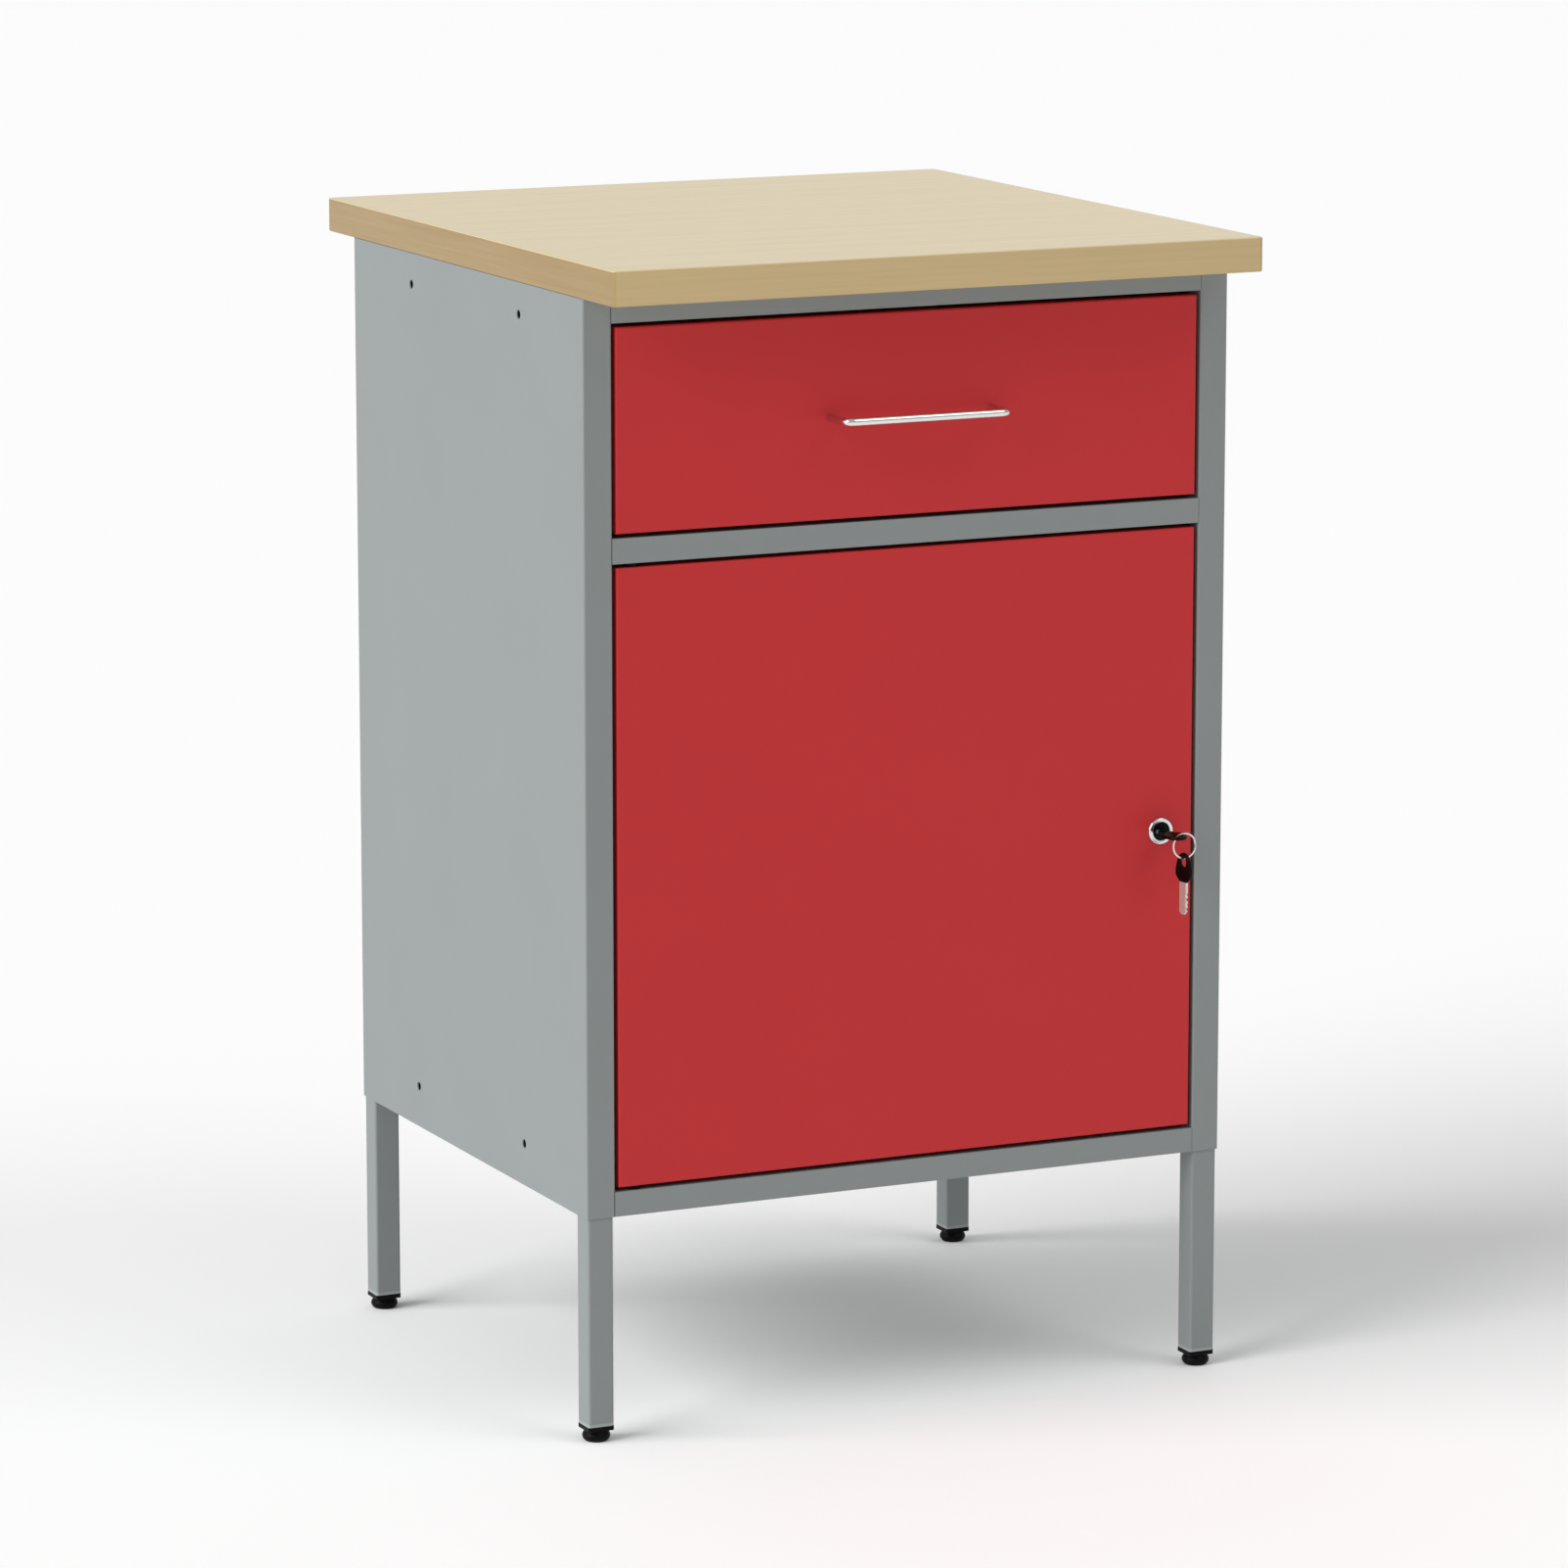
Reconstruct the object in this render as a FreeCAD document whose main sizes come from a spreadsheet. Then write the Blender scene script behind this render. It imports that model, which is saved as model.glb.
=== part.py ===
import FreeCAD, Part
import math
import os
from types import SimpleNamespace

import Sketcher
from FreeCAD import Placement, Rotation, Vector

# Workbench tool cabinet: sheet steel panels round four square legs, a wooden worktop, one drawer on
# telescopic ball runners, and a cupboard whose door turns on hidden pins and locks with a cam.
#
# X runs to the right, Y to the back and Z up. The origin is on the floor, under the middle of the worktop.
# Most pieces are drawn from the carcass: x from its middle plane, y back from its front face and z up
# from its underside.

DRIVING_SIZES = {
    # worktop
    "top_thickness": 25,
    "top_corner_radius": 2,
    "top_edge_bevel": 1,
    "overhang_front": 53,
    "overhang_rear": 52,
    "top_screw_spread": 300,
    "top_screw_depth": 14,
    # carcass
    "carcass_width": 510,
    "carcass_depth": 430,
    "floor_gap": 166,
    "panel_sheet": 1,
    "rail_sheet": 1.2,
    "bend_inner_radius": 0.5,
    "panel_lip": 15,
    "panel_foot_flange": 15,
    "back_return": 8,
    "tube_size": 20,
    "tube_wall": 1.5,
    "tube_radius": 2,
    "rail_height": 18,
    # four plain holes in each side panel, for bolting cabinets together
    "side_hole_diameter": 6.6,
    "side_hole_spread": 202,
    "side_hole_from_top": 23,
    "side_hole_from_bottom": 31,
    # fronts
    "front_gap": 3,
    "drawer_front_height": 146,
    "door_height": 447,
    "door_lip": 12,
    "drawer_lip": 20,
    # levelling feet and the plugs that carry them
    "knob_height": 6.6,
    "knob_diameter": 20.5,
    "knob_bevel": 1.6,
    "knob_neck_diameter": 18,
    "knob_neck_height": 1.7,
    "foot_gap": 0.3,
    "stud_diameter": 8,
    "stud_length": 24,
    "stud_play": 0.05,
    "plug_flange": 3.3,
    "plug_core": 13,
    "plug_depth": 20,
    "plug_fin": 1.2,
    "plug_fit": 0.1,
    # cupboard
    "shelf_setback": 24,
    "shelf_flange": 20,
    "shelf_play": 1,
    "bearer_leg": 18,
    "cupboard_split": 0.5,
    # pivot pins of the door
    "hinge_inset": 14,
    "hinge_setback": 8,
    "pin_diameter": 6,
    "pin_reach": 9,
    "pin_tail": 2,
    "pin_play": 0.05,
    "bush_flange": 12,
    "bush_width": 10,
    "bush_length": 7,
    "bush_gap": 0.1,
    "assembly_play": 0.1,
    # door stiffener and stops
    "stiffener_width": 44,
    "stiffener_flange": 12,
    "stiffener_inset": 30,
    "stop_height": 30,
    "stop_reach": 16,
    "stop_inset": 40,
    "stop_sheet": 1.5,
    "buffer_height": 3,
    "buffer_diameter": 10,
    "buffer_gap": 0.2,
    # cam lock
    "lock_inset": 26,
    "lock_rim_diameter": 20,
    "lock_rim_height": 2,
    "lock_rim_chamfer": 0.8,
    "lock_barrel_diameter": 16,
    "lock_flats": 14.4,
    "lock_nut_width": 22,
    "lock_nut_height": 4,
    "plug_diameter": 13,
    "plug_recess": 0.3,
    "plug_play": 0.05,
    "plug_square": 7,
    "keyway_depth": 17,
    "cam_gap": 0.3,
    "cam_sheet": 2,
    "cam_length": 44,
    "cam_width": 16,
    # keys and their ring
    "key_reach": 27.5,
    "key_head_length": 22,
    "key_head_width": 19,
    "key_head_thickness": 2.6,
    "key_head_bevel": 0.8,
    "key_eye_diameter": 7.6,
    "key_eye_wall": 3,
    "key_neck": 9,
    "key_blade_length": 24,
    "key_blade_width": 7.6,
    "key_blade_thickness": 2,
    "key_play": 0.3,
    "ring_radius": 9.2,
    "ring_wire": 1.6,
    "ring_bevel": 0.45,
    "ring_play": 0.5,
    # drawer
    "drawer_box_height": 112,
    "drawer_box_lift": 8,
    "drawer_box_rear_gap": 27,
    "drawer_box_hem": 8,
    "handle_centres": 128,
    "handle_rod": 6,
    "handle_reach": 28,
    "handle_bend": 6,
    # telescopic ball runners
    "runner_height": 45,
    "runner_thickness": 12.7,
    "runner_sheet": 1.2,
    "runner_level": 50,
    "runner_setback": 2,
    "runner_rear_gap": 10,
    "runner_bracket_height": 50,
    "ball_diameter": 3,
    "ball_gap": 2.6,
    "race_play": 0.1,
    "cage_sheet": 0.5,
    "cage_length": 90,
    "cage_pitch": 32,
    "runner_screw_inset": 30,
    # screws
    "screw_diameter": 4,
    "screw_head_diameter": 8,
    "screw_head_height": 2.2,
    "wafer_head_height": 1.2,
    "screw_length": 8,
    "short_screw_length": 3,
}

TOLERANCE = 0.01

# Small round pieces have this many flats round them, to keep their faces few.
SCREW_SIDES = 8
SMALL_SIDES = 16
KNOB_SIDES = 20
RIM_SIDES = 32


class Size:
    """A length or a count that keeps its number together with the formula it comes from."""

    def __init__(self, number, formula):
        self.number = number
        self.formula = formula

    def __float__(self):
        return float(self.number)

    def __add__(self, other):
        return Size(self.number + float(other), f"({self.formula} + {formula_of(other)})")

    def __radd__(self, other):
        return Size(float(other) + self.number, f"({formula_of(other)} + {self.formula})")

    def __sub__(self, other):
        return Size(self.number - float(other), f"({self.formula} - {formula_of(other)})")

    def __rsub__(self, other):
        return Size(float(other) - self.number, f"({formula_of(other)} - {self.formula})")

    def __mul__(self, other):
        return Size(self.number * float(other), f"({self.formula} * {formula_of(other)})")

    def __rmul__(self, other):
        return self * other

    def __truediv__(self, other):
        return Size(self.number / float(other), f"({self.formula} / {formula_of(other)})")

    def __neg__(self):
        return self * -1


def formula_of(size):
    return size.formula if isinstance(size, Size) else repr(float(size))


os.makedirs("parts", exist_ok=True)
doc = FreeCAD.newDocument("workbench_tool_cabinet")
sheet = doc.addObject("Spreadsheet::Sheet", "sizes")
for row, (name, number) in enumerate(DRIVING_SIZES.items(), start=1):
    sheet.set(f"A{row}", name)
    sheet.set(f"B{row}", str(number))
    sheet.setAlias(f"B{row}", name)
doc.recompute()
mm = SimpleNamespace(**{name: Size(number, f"sizes.{name}") for name, number in DRIVING_SIZES.items()})

# Across the carcass, from its middle plane
half_width = mm.carcass_width / 2
panel_inside = half_width - mm.panel_sheet
upright_width = mm.tube_size + mm.panel_sheet * 2
opening_half = half_width - upright_width
post_x = panel_inside - mm.tube_size / 2

# From the front face of the carcass to the back
front_y = (mm.overhang_front - mm.overhang_rear - mm.carcass_depth) / 2
post_front_y = mm.panel_sheet + mm.tube_size / 2
post_rear_y = mm.carcass_depth - post_front_y
front_post_back = mm.panel_sheet + mm.tube_size
rear_post_face = mm.carcass_depth - front_post_back
back_inside = mm.carcass_depth - mm.panel_sheet
front_depth = front_post_back - mm.buffer_height

# Up from the underside of the carcass
door_bottom = mm.rail_height + mm.front_gap
door_top = door_bottom + mm.door_height
rail_middle_bottom = door_top + mm.front_gap
rail_middle_top = rail_middle_bottom + mm.rail_height
drawer_bottom = rail_middle_top + mm.front_gap
drawer_top = drawer_bottom + mm.drawer_front_height
rail_top_bottom = drawer_top + mm.front_gap
carcass_height = rail_top_bottom + mm.rail_height
tube_end = mm.knob_height + mm.knob_neck_height + mm.foot_gap + mm.plug_flange - mm.floor_gap

front_width = (opening_half - mm.front_gap) * 2
runner_z = drawer_bottom + mm.runner_level
runner_length = mm.carcass_depth - mm.runner_rear_gap - mm.runner_setback - front_depth
lock_x = front_width / 2 - mm.lock_inset
lock_z = door_bottom + mm.door_height / 2
hinge_x = mm.hinge_inset - front_width / 2
screw_hole = mm.screw_diameter + mm.assembly_play * 2
handle_thread = mm.handle_rod * 0.55

sub_parts = []


def new_body(label):
    body = doc.addObject("PartDesign::Body", label)
    body.Label = label
    return body


def sub_part(label):
    """A body of its own that is handed over as one piece."""
    body = new_body(label)
    sub_parts.append(body)
    return body


def sub_part_group(label, members):
    """Several separate solids that are handed over under one name."""
    group = doc.addObject("Part::Compound", label)
    group.Label = label
    group.Links = members
    sub_parts.append(group)
    return group


def place(item, x, y, z, turn=None):
    """Seats a piece at a point counted from the carcass: middle plane, front face, underside."""
    if turn:
        item.Placement = Placement(Vector(), turn)
    item.setExpression("Placement.Base.x", formula_of(x))
    item.setExpression("Placement.Base.y", formula_of(front_y + y))
    item.setExpression("Placement.Base.z", formula_of(mm.floor_gap + z))


def origin_feature(body, role):
    for datum in body.Origin.OriginFeatures:
        if datum.Role == role:
            return datum


def normal_sign(sketch):
    """Front views look along +Y, so their plane faces -Y; the other planes face along their axis."""
    return -1 if sketch.AttachmentSupport[0][0].Role == "XZ_Plane" else 1


def new_sketch(body, plane, level=0):
    """A sketch on one of the body's own planes, moved along that plane's axis to a level."""
    sketch = body.newObject("Sketcher::SketchObject", "Sketch")
    sketch.AttachmentSupport = [(origin_feature(body, f"{plane}_Plane"), "")]
    sketch.MapMode = "FlatFace"
    sketch.setExpression("AttachmentOffset.Base.z", formula_of(level * normal_sign(sketch)))
    return sketch


def tie(sketch, geometry, point, across, up):
    """Holds one point of the sketch at two sizes measured from the sketch's origin."""
    for kind, size in (("DistanceX", across), ("DistanceY", up)):
        number = sketch.addConstraint(Sketcher.Constraint(kind, -1, 1, geometry, point, float(size)))
        sketch.setExpression(f"Constraints[{number}]", formula_of(size))


def draw_outline(sketch, corners):
    """A closed outline of straight runs through the corners."""
    first = sketch.GeometryCount
    count = len(corners)
    for index, start in enumerate(corners):
        end = corners[(index + 1) % count]
        run = Part.LineSegment(Vector(float(start[0]), float(start[1])), Vector(float(end[0]), float(end[1])))
        sketch.addGeometry(run, False)
    for index, corner in enumerate(corners):
        following = first + (index + 1) % count
        sketch.addConstraint(Sketcher.Constraint("Coincident", first + index, 2, following, 1))
        tie(sketch, first + index, 1, *corner)
    return sketch


def draw_rectangle(sketch, left, right, low, high):
    return draw_outline(sketch, [(left, low), (right, low), (right, high), (left, high)])


def draw_circle(sketch, across, up, diameter):
    centre = Vector(float(across), float(up))
    geometry = sketch.addGeometry(Part.Circle(centre, Vector(0, 0, 1), float(diameter) / 2), False)
    tie(sketch, geometry, 3, across, up)
    number = sketch.addConstraint(Sketcher.Constraint("Diameter", geometry, float(diameter)))
    sketch.setExpression(f"Constraints[{number}]", formula_of(diameter))
    return sketch


def draw_flats(sketch, across, up, radius, sides):
    corners = []
    for number in range(sides):
        angle = math.pi / sides * (number * 2 + 1)
        corners.append((across + radius * math.cos(angle), up + radius * math.sin(angle)))
    return draw_outline(sketch, corners)


def draw_peg(sketch, across, up, diameter, sides=SMALL_SIDES):
    """A round section made of flats, whose corners lie on the circle."""
    return draw_flats(sketch, across, up, diameter / 2, sides)


def draw_bore(sketch, across, up, diameter, sides=SMALL_SIDES):
    """A round hole made of flats, which lie on the circle."""
    return draw_flats(sketch, across, up, diameter / 2 / math.cos(math.pi / sides), sides)


def pad(body, sketch, length, towards=1, both_ways=False):
    """Adds material from the sketch towards the positive or the negative side of its axis."""
    feature = body.newObject("PartDesign::Pad", "Pad")
    feature.Profile = sketch
    feature.setExpression("Length", formula_of(length))
    feature.Reversed = towards * normal_sign(sketch) < 0
    if both_ways:
        feature.SideType = "Symmetric"
    return feature


def pocket(body, sketch, depth=None, towards=1):
    """Takes material away, to a depth or right through the body both ways."""
    feature = body.newObject("PartDesign::Pocket", "Pocket")
    feature.Profile = sketch
    if depth is None:
        feature.Type = "ThroughAll"
        feature.SideType = "Symmetric"
    else:
        feature.setExpression("Length", formula_of(depth))
        feature.Reversed = towards * normal_sign(sketch) > 0
    return feature


def finish_edges(body, kind, measure, size, chosen):
    """Works along the edges that the test chooses on the body as it is so far."""
    doc.recompute()
    base = body.Tip
    edges = enumerate(base.Shape.Edges, start=1)
    names = [f"Edge{number}" for number, edge in edges if chosen(edge.BoundBox)]
    feature = body.newObject(f"PartDesign::{kind}", kind)
    feature.Base = (base, names)
    feature.setExpression(measure, formula_of(size))
    return feature


def round_edges(body, radius, chosen):
    return finish_edges(body, "Fillet", "Radius", radius, chosen)


def bevel_edges(body, width, chosen):
    return finish_edges(body, "Chamfer", "Size", width, chosen)


def runs_along(box, axis):
    """True where an edge's box is long only in the given axis."""
    lengths = {"x": box.XLength, "y": box.YLength, "z": box.ZLength}
    along = lengths.pop(axis)
    return along > TOLERANCE and max(lengths.values()) < TOLERANCE


def lies_at(low, high, level):
    """True where both ends of an edge's box lie at a level."""
    return abs(low - float(level)) < TOLERANCE and abs(high - float(level)) < TOLERANCE


def corner_edge(box, x, y):
    """True for an upright edge that stands at |x| and y."""
    at_x = abs(abs(box.XMin) - float(x)) < TOLERANCE
    return runs_along(box, "z") and at_x and lies_at(box.YMin, box.YMax, y)


def level_edge(*levels):
    """A test for the edges that lie at one of the levels."""
    return lambda box: any(lies_at(box.ZMin, box.ZMax, level) for level in levels)


sheet_bend = mm.panel_sheet + mm.bend_inner_radius
toward_back = Rotation(Vector(1, 0, 0), -90)
upside_down = Rotation(Vector(1, 0, 0), 180)


def make_worktop():
    half_depth = (mm.carcass_depth + mm.overhang_front + mm.overhang_rear) / 2
    middle = mm.carcass_depth / 2 + (mm.overhang_rear - mm.overhang_front) / 2
    body = sub_part("worktop")
    outline = draw_rectangle(new_sketch(body, "XY"), -half_width, half_width, -half_depth, half_depth)
    pad(body, outline, mm.top_thickness)
    pilots = new_sketch(body, "XY")
    for side in (-1, 1):
        for end in (-1, 1):
            y = mm.carcass_depth / 2 - middle + mm.top_screw_spread / 2 * end
            draw_bore(pilots, post_x * side, y, screw_hole, SCREW_SIDES)
    pocket(body, pilots, mm.top_screw_depth + mm.assembly_play, towards=1)

    def corner(box):
        return corner_edge(box, half_width, half_depth) or corner_edge(box, half_width, -half_depth)

    def outside(box):
        return max(abs(box.XMin), abs(box.XMax)) > float(half_width - mm.top_corner_radius) - TOLERANCE

    def rim(box):
        long_run = lies_at(box.YMin, box.YMax, half_depth) or lies_at(box.YMin, box.YMax, -half_depth)
        return (outside(box) or long_run) and level_edge(mm.top_thickness, 0)(box)

    round_edges(body, mm.top_corner_radius, corner)
    bevel_edges(body, mm.top_edge_bevel, rim)
    place(body, 0, middle, carcass_height)


def make_side_panel(name, side):
    """Sheet folded round the front and the rear leg, with a flange in at the top and the bottom."""
    depth = mm.carcass_depth
    lip_outside = opening_half + mm.panel_sheet
    section = [
        (half_width, 0), (half_width, depth), (opening_half, depth), (opening_half, depth - mm.panel_lip),
        (lip_outside, depth - mm.panel_lip), (lip_outside, back_inside), (panel_inside, back_inside),
        (panel_inside, mm.panel_sheet), (lip_outside, mm.panel_sheet), (lip_outside, mm.panel_lip),
        (opening_half, mm.panel_lip), (opening_half, 0),
    ]
    body = sub_part(f"side_panel_{name}")
    pad(body, draw_outline(new_sketch(body, "XY"), [(x * side, y) for x, y in section]), carcass_height)
    top_flange = new_sketch(body, "XY", carcass_height)
    draw_rectangle(top_flange, (panel_inside - mm.tube_size) * side, panel_inside * side,
                   front_post_back, rear_post_face)
    pad(body, top_flange, mm.panel_sheet, towards=-1)
    foot_flange = new_sketch(body, "XY")
    draw_rectangle(foot_flange, (panel_inside - mm.panel_foot_flange) * side, panel_inside * side,
                   front_post_back, rear_post_face)
    pad(body, foot_flange, mm.panel_sheet)
    screw_holes = new_sketch(body, "XY", carcass_height)
    for end in (-1, 1):
        y = depth / 2 + mm.top_screw_spread / 2 * end
        draw_bore(screw_holes, post_x * side, y, screw_hole, SCREW_SIDES)
    pocket(body, screw_holes, mm.panel_sheet * 2, towards=-1)
    side_holes = new_sketch(body, "YZ")
    for end in (-1, 1):
        for height in (mm.side_hole_from_bottom, carcass_height - mm.side_hole_from_top):
            draw_circle(side_holes, depth / 2 + mm.side_hole_spread / 2 * end, height, mm.side_hole_diameter)
    pocket(body, side_holes)

    def bent_edge(box):
        front = corner_edge(box, half_width, 0) or corner_edge(box, opening_half, 0)
        rear = corner_edge(box, half_width, depth) or corner_edge(box, opening_half, depth)
        return front or rear

    round_edges(body, sheet_bend, bent_edge)
    place(body, 0, 0, 0)


def make_back_panel():
    """A shallow pan between the rear lips, open towards the front."""
    body = sub_part("back_panel")
    outer = draw_rectangle(new_sketch(body, "XZ"), -opening_half, opening_half, 0, carcass_height)
    pad(body, outer, mm.back_return)
    inner = new_sketch(body, "XZ")
    draw_rectangle(inner, mm.panel_sheet - opening_half, opening_half - mm.panel_sheet,
                   mm.panel_sheet, carcass_height - mm.panel_sheet)
    pocket(body, inner, mm.back_return - mm.panel_sheet, towards=1)
    place(body, 0, mm.carcass_depth - mm.back_return, 0)


def make_leg_post(name, x, y):
    body = sub_part(f"leg_post_{name}")
    half = mm.tube_size / 2
    bore = half - mm.tube_wall
    pad(body, draw_rectangle(new_sketch(body, "XY"), -half, half, -half, half), carcass_height - tube_end)
    round_edges(body, mm.tube_radius, lambda box: runs_along(box, "z"))
    pocket(body, draw_rectangle(new_sketch(body, "XY"), -bore, bore, -bore, bore))
    place(body, x, y, tube_end)


def make_front_rail(name, z, pin_level=None):
    """A channel between the posts, open to the back; a flange of it may carry a pivot pin."""
    height = mm.rail_height
    wall = mm.rail_sheet
    section = [
        (0, 0), (front_post_back, 0), (front_post_back, wall), (wall, wall),
        (wall, height - wall), (front_post_back, height - wall), (front_post_back, height), (0, height),
    ]
    body = sub_part(f"front_rail_{name}")
    pad(body, draw_outline(new_sketch(body, "YZ"), section), opening_half * 2, both_ways=True)
    if pin_level is not None:
        hole = new_sketch(body, "XY", pin_level - wall)
        draw_bore(hole, hinge_x, mm.hinge_setback, mm.pin_diameter + mm.assembly_play * 2)
        pocket(body, hole, wall * 2, towards=1)
    place(body, 0, 0, z)


def make_deck(name, z, depth):
    """A sheet between the side panels, folded down at every edge and cut out round the rear posts."""
    side = panel_inside
    rear = back_inside
    notch_x = opening_half - mm.panel_sheet
    notch_y = rear_post_face

    def outline(inset):
        return [
            (inset - side, front_post_back + inset), (side - inset, front_post_back + inset),
            (side - inset, notch_y - inset), (notch_x - inset, notch_y - inset),
            (notch_x - inset, rear - inset), (inset - notch_x, rear - inset),
            (inset - notch_x, notch_y - inset), (inset - side, notch_y - inset),
        ]

    body = sub_part(name)
    pad(body, draw_outline(new_sketch(body, "XY"), outline(0)), depth)
    hollow = draw_outline(new_sketch(body, "XY"), outline(mm.panel_sheet))
    pocket(body, hollow, depth - mm.panel_sheet, towards=1)
    place(body, 0, 0, z - depth)


shelf_z = mm.rail_height + (rail_middle_bottom - mm.rail_height) * mm.cupboard_split


def make_shelf():
    """A tray turned over, its edges folded down; it lies on the two bearers."""
    side = panel_inside - mm.shelf_play
    front = front_post_back + mm.shelf_setback
    rear = rear_post_face - mm.shelf_play
    wall = mm.panel_sheet
    body = sub_part("shelf")
    pad(body, draw_rectangle(new_sketch(body, "XY"), -side, side, front, rear), mm.shelf_flange)
    hollow = draw_rectangle(new_sketch(body, "XY"), wall - side, side - wall, front + wall, rear - wall)
    pocket(body, hollow, mm.shelf_flange - wall, towards=1)
    round_edges(body, sheet_bend, lambda box: runs_along(box, "x")
                and lies_at(box.ZMin, box.ZMax, mm.shelf_flange) and lies_at(box.YMin, box.YMax, front))
    place(body, 0, 0, shelf_z - mm.shelf_flange)


def make_shelf_bearer(name, side):
    """An angle along the side panel, from the front post to the rear post."""
    wall = mm.rail_sheet
    inner = panel_inside - mm.bearer_leg
    section = [
        (panel_inside, 0), (inner, 0), (inner, -wall), (panel_inside - wall, -wall),
        (panel_inside - wall, -mm.bearer_leg), (panel_inside, -mm.bearer_leg),
    ]
    body = sub_part(f"shelf_bearer_{name}")
    profile = draw_outline(new_sketch(body, "XZ"), [(x * side, z) for x, z in section])
    pad(body, profile, rear_post_face - front_post_back)
    place(body, 0, front_post_back, shelf_z - mm.shelf_flange)


def make_leg_plug(x, y):
    """A square flange under the tube, and a finned core inside it with the thread for the foot."""
    body = new_body("leg_plug")
    flange = mm.tube_size / 2
    core = mm.plug_core / 2
    fin = flange - mm.tube_wall - mm.plug_fit
    fin_start = mm.plug_depth * 0.2
    fin_span = mm.plug_depth * 0.6
    outline = draw_rectangle(new_sketch(body, "XY"), -flange, flange, -flange, flange)
    pad(body, outline, mm.plug_flange, towards=-1)
    bevel_edges(body, mm.tube_radius / 2, lambda box: runs_along(box, "z"))
    pad(body, draw_rectangle(new_sketch(body, "XY"), -core, core, -core, core), mm.plug_depth)
    first_fin = new_sketch(body, "XY", fin_start)
    draw_rectangle(first_fin, -fin, fin, -fin, fin)
    fin_pad = pad(body, first_fin, mm.plug_fin)
    fins = body.newObject("PartDesign::LinearPattern", "Fins")
    fins.Originals = [fin_pad]
    fins.Direction = (origin_feature(body, "Z_Axis"), [""])
    fins.setExpression("Length", formula_of(fin_span))
    fins.Occurrences = 3
    body.Tip = fins
    thread = draw_bore(new_sketch(body, "XY"), 0, 0, mm.stud_diameter + mm.stud_play * 2)
    pocket(body, thread)
    place(body, x, y, tube_end)
    return body


def make_levelling_foot(name, x, y):
    """A knob bevelled round its sole and its top, a narrower neck, and the stud it turns with."""
    body = sub_part(f"levelling_foot_{name}")
    pad(body, draw_peg(new_sketch(body, "XY"), 0, 0, mm.knob_diameter, KNOB_SIDES), mm.knob_height)
    bevel_edges(body, mm.knob_bevel, level_edge(0, mm.knob_height))
    neck = draw_peg(new_sketch(body, "XY"), 0, 0, mm.knob_neck_diameter, KNOB_SIDES)
    pad(body, neck, mm.knob_height + mm.knob_neck_height)
    stud = draw_peg(new_sketch(body, "XY"), 0, 0, mm.stud_diameter)
    pad(body, stud, mm.knob_height + mm.knob_neck_height + mm.stud_length)
    place(body, x, y, -mm.floor_gap)


def make_screw(label, head_height, shank_length, shank=mm.screw_diameter):
    """A flat-headed screw: head above the seat at z = 0, shank below it."""
    body = new_body(label)
    pad(body, draw_peg(new_sketch(body, "XY"), 0, 0, mm.screw_head_diameter, SCREW_SIDES), head_height)
    pad(body, draw_peg(new_sketch(body, "XY"), 0, 0, shank, SCREW_SIDES), shank_length, towards=-1)
    return body


def make_worktop_screws():
    screws = []
    for side in (-1, 1):
        for end in (-1, 1):
            screw = make_screw("worktop_screw", mm.screw_head_height, mm.top_screw_depth + mm.panel_sheet)
            y = mm.carcass_depth / 2 + mm.top_screw_spread / 2 * end
            place(screw, post_x * side, y, carcass_height - mm.panel_sheet, upside_down)
            screws.append(screw)
    sub_part_group("worktop_screws", screws)


def make_pivots():
    """Pins welded into the rails above and below the door, and the bushes in the door that turn on them.

    Both are drawn for the lower pivot, counted down from the middle of the door, and for the upper one
    they are turned over. A bush has a flange between door and rail and a square sleeve that can't turn.
    """
    pins = []
    bushes = []
    rail = -mm.door_height / 2 - mm.front_gap
    edge = -mm.door_height / 2
    sleeve = mm.bush_width / 2
    for turn in (None, upside_down):
        pin = new_body("hinge_pin")
        section = draw_peg(new_sketch(pin, "XY", rail - mm.rail_sheet - mm.pin_tail), 0, 0, mm.pin_diameter)
        pad(pin, section, mm.pin_tail + mm.rail_sheet + mm.front_gap + mm.pin_reach)
        place(pin, hinge_x, mm.hinge_setback, lock_z, turn)
        pins.append(pin)
        bush = new_body("hinge_bush")
        flange = draw_peg(new_sketch(bush, "XY", edge), 0, 0, mm.bush_flange, SCREW_SIDES)
        pad(bush, flange, mm.front_gap - mm.bush_gap, towards=-1)
        square = draw_rectangle(new_sketch(bush, "XY", edge), -sleeve, sleeve, -sleeve, sleeve)
        pad(bush, square, mm.bush_length)
        pocket(bush, draw_bore(new_sketch(bush, "XY", edge), 0, 0, mm.pin_diameter + mm.pin_play * 2))
        place(bush, hinge_x, mm.hinge_setback, lock_z, turn)
        bushes.append(bush)
    sub_part_group("hinge_pins", pins)
    sub_part_group("hinge_bushes", bushes)


def make_front_pan(body, height, lip):
    """A front folded back at its four edges and in again at the back: outer skin, returns and lips."""
    wall = mm.panel_sheet
    half = front_width / 2
    pad(body, draw_rectangle(new_sketch(body, "XZ"), -half, half, 0, height), front_depth)
    round_edges(body, sheet_bend, lambda box: lies_at(box.YMin, box.YMax, 0))
    hollow = new_sketch(body, "XZ", front_depth)
    draw_rectangle(hollow, wall - half, half - wall, wall, height - wall)
    pocket(body, hollow, front_depth - wall, towards=-1)
    lips = new_sketch(body, "XZ", front_depth)
    draw_rectangle(lips, wall / 2 - half, half - wall / 2, wall / 2, height - wall / 2)
    draw_rectangle(lips, lip - half, half - lip, lip, height - lip)
    pad(body, lips, wall, towards=-1)


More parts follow.
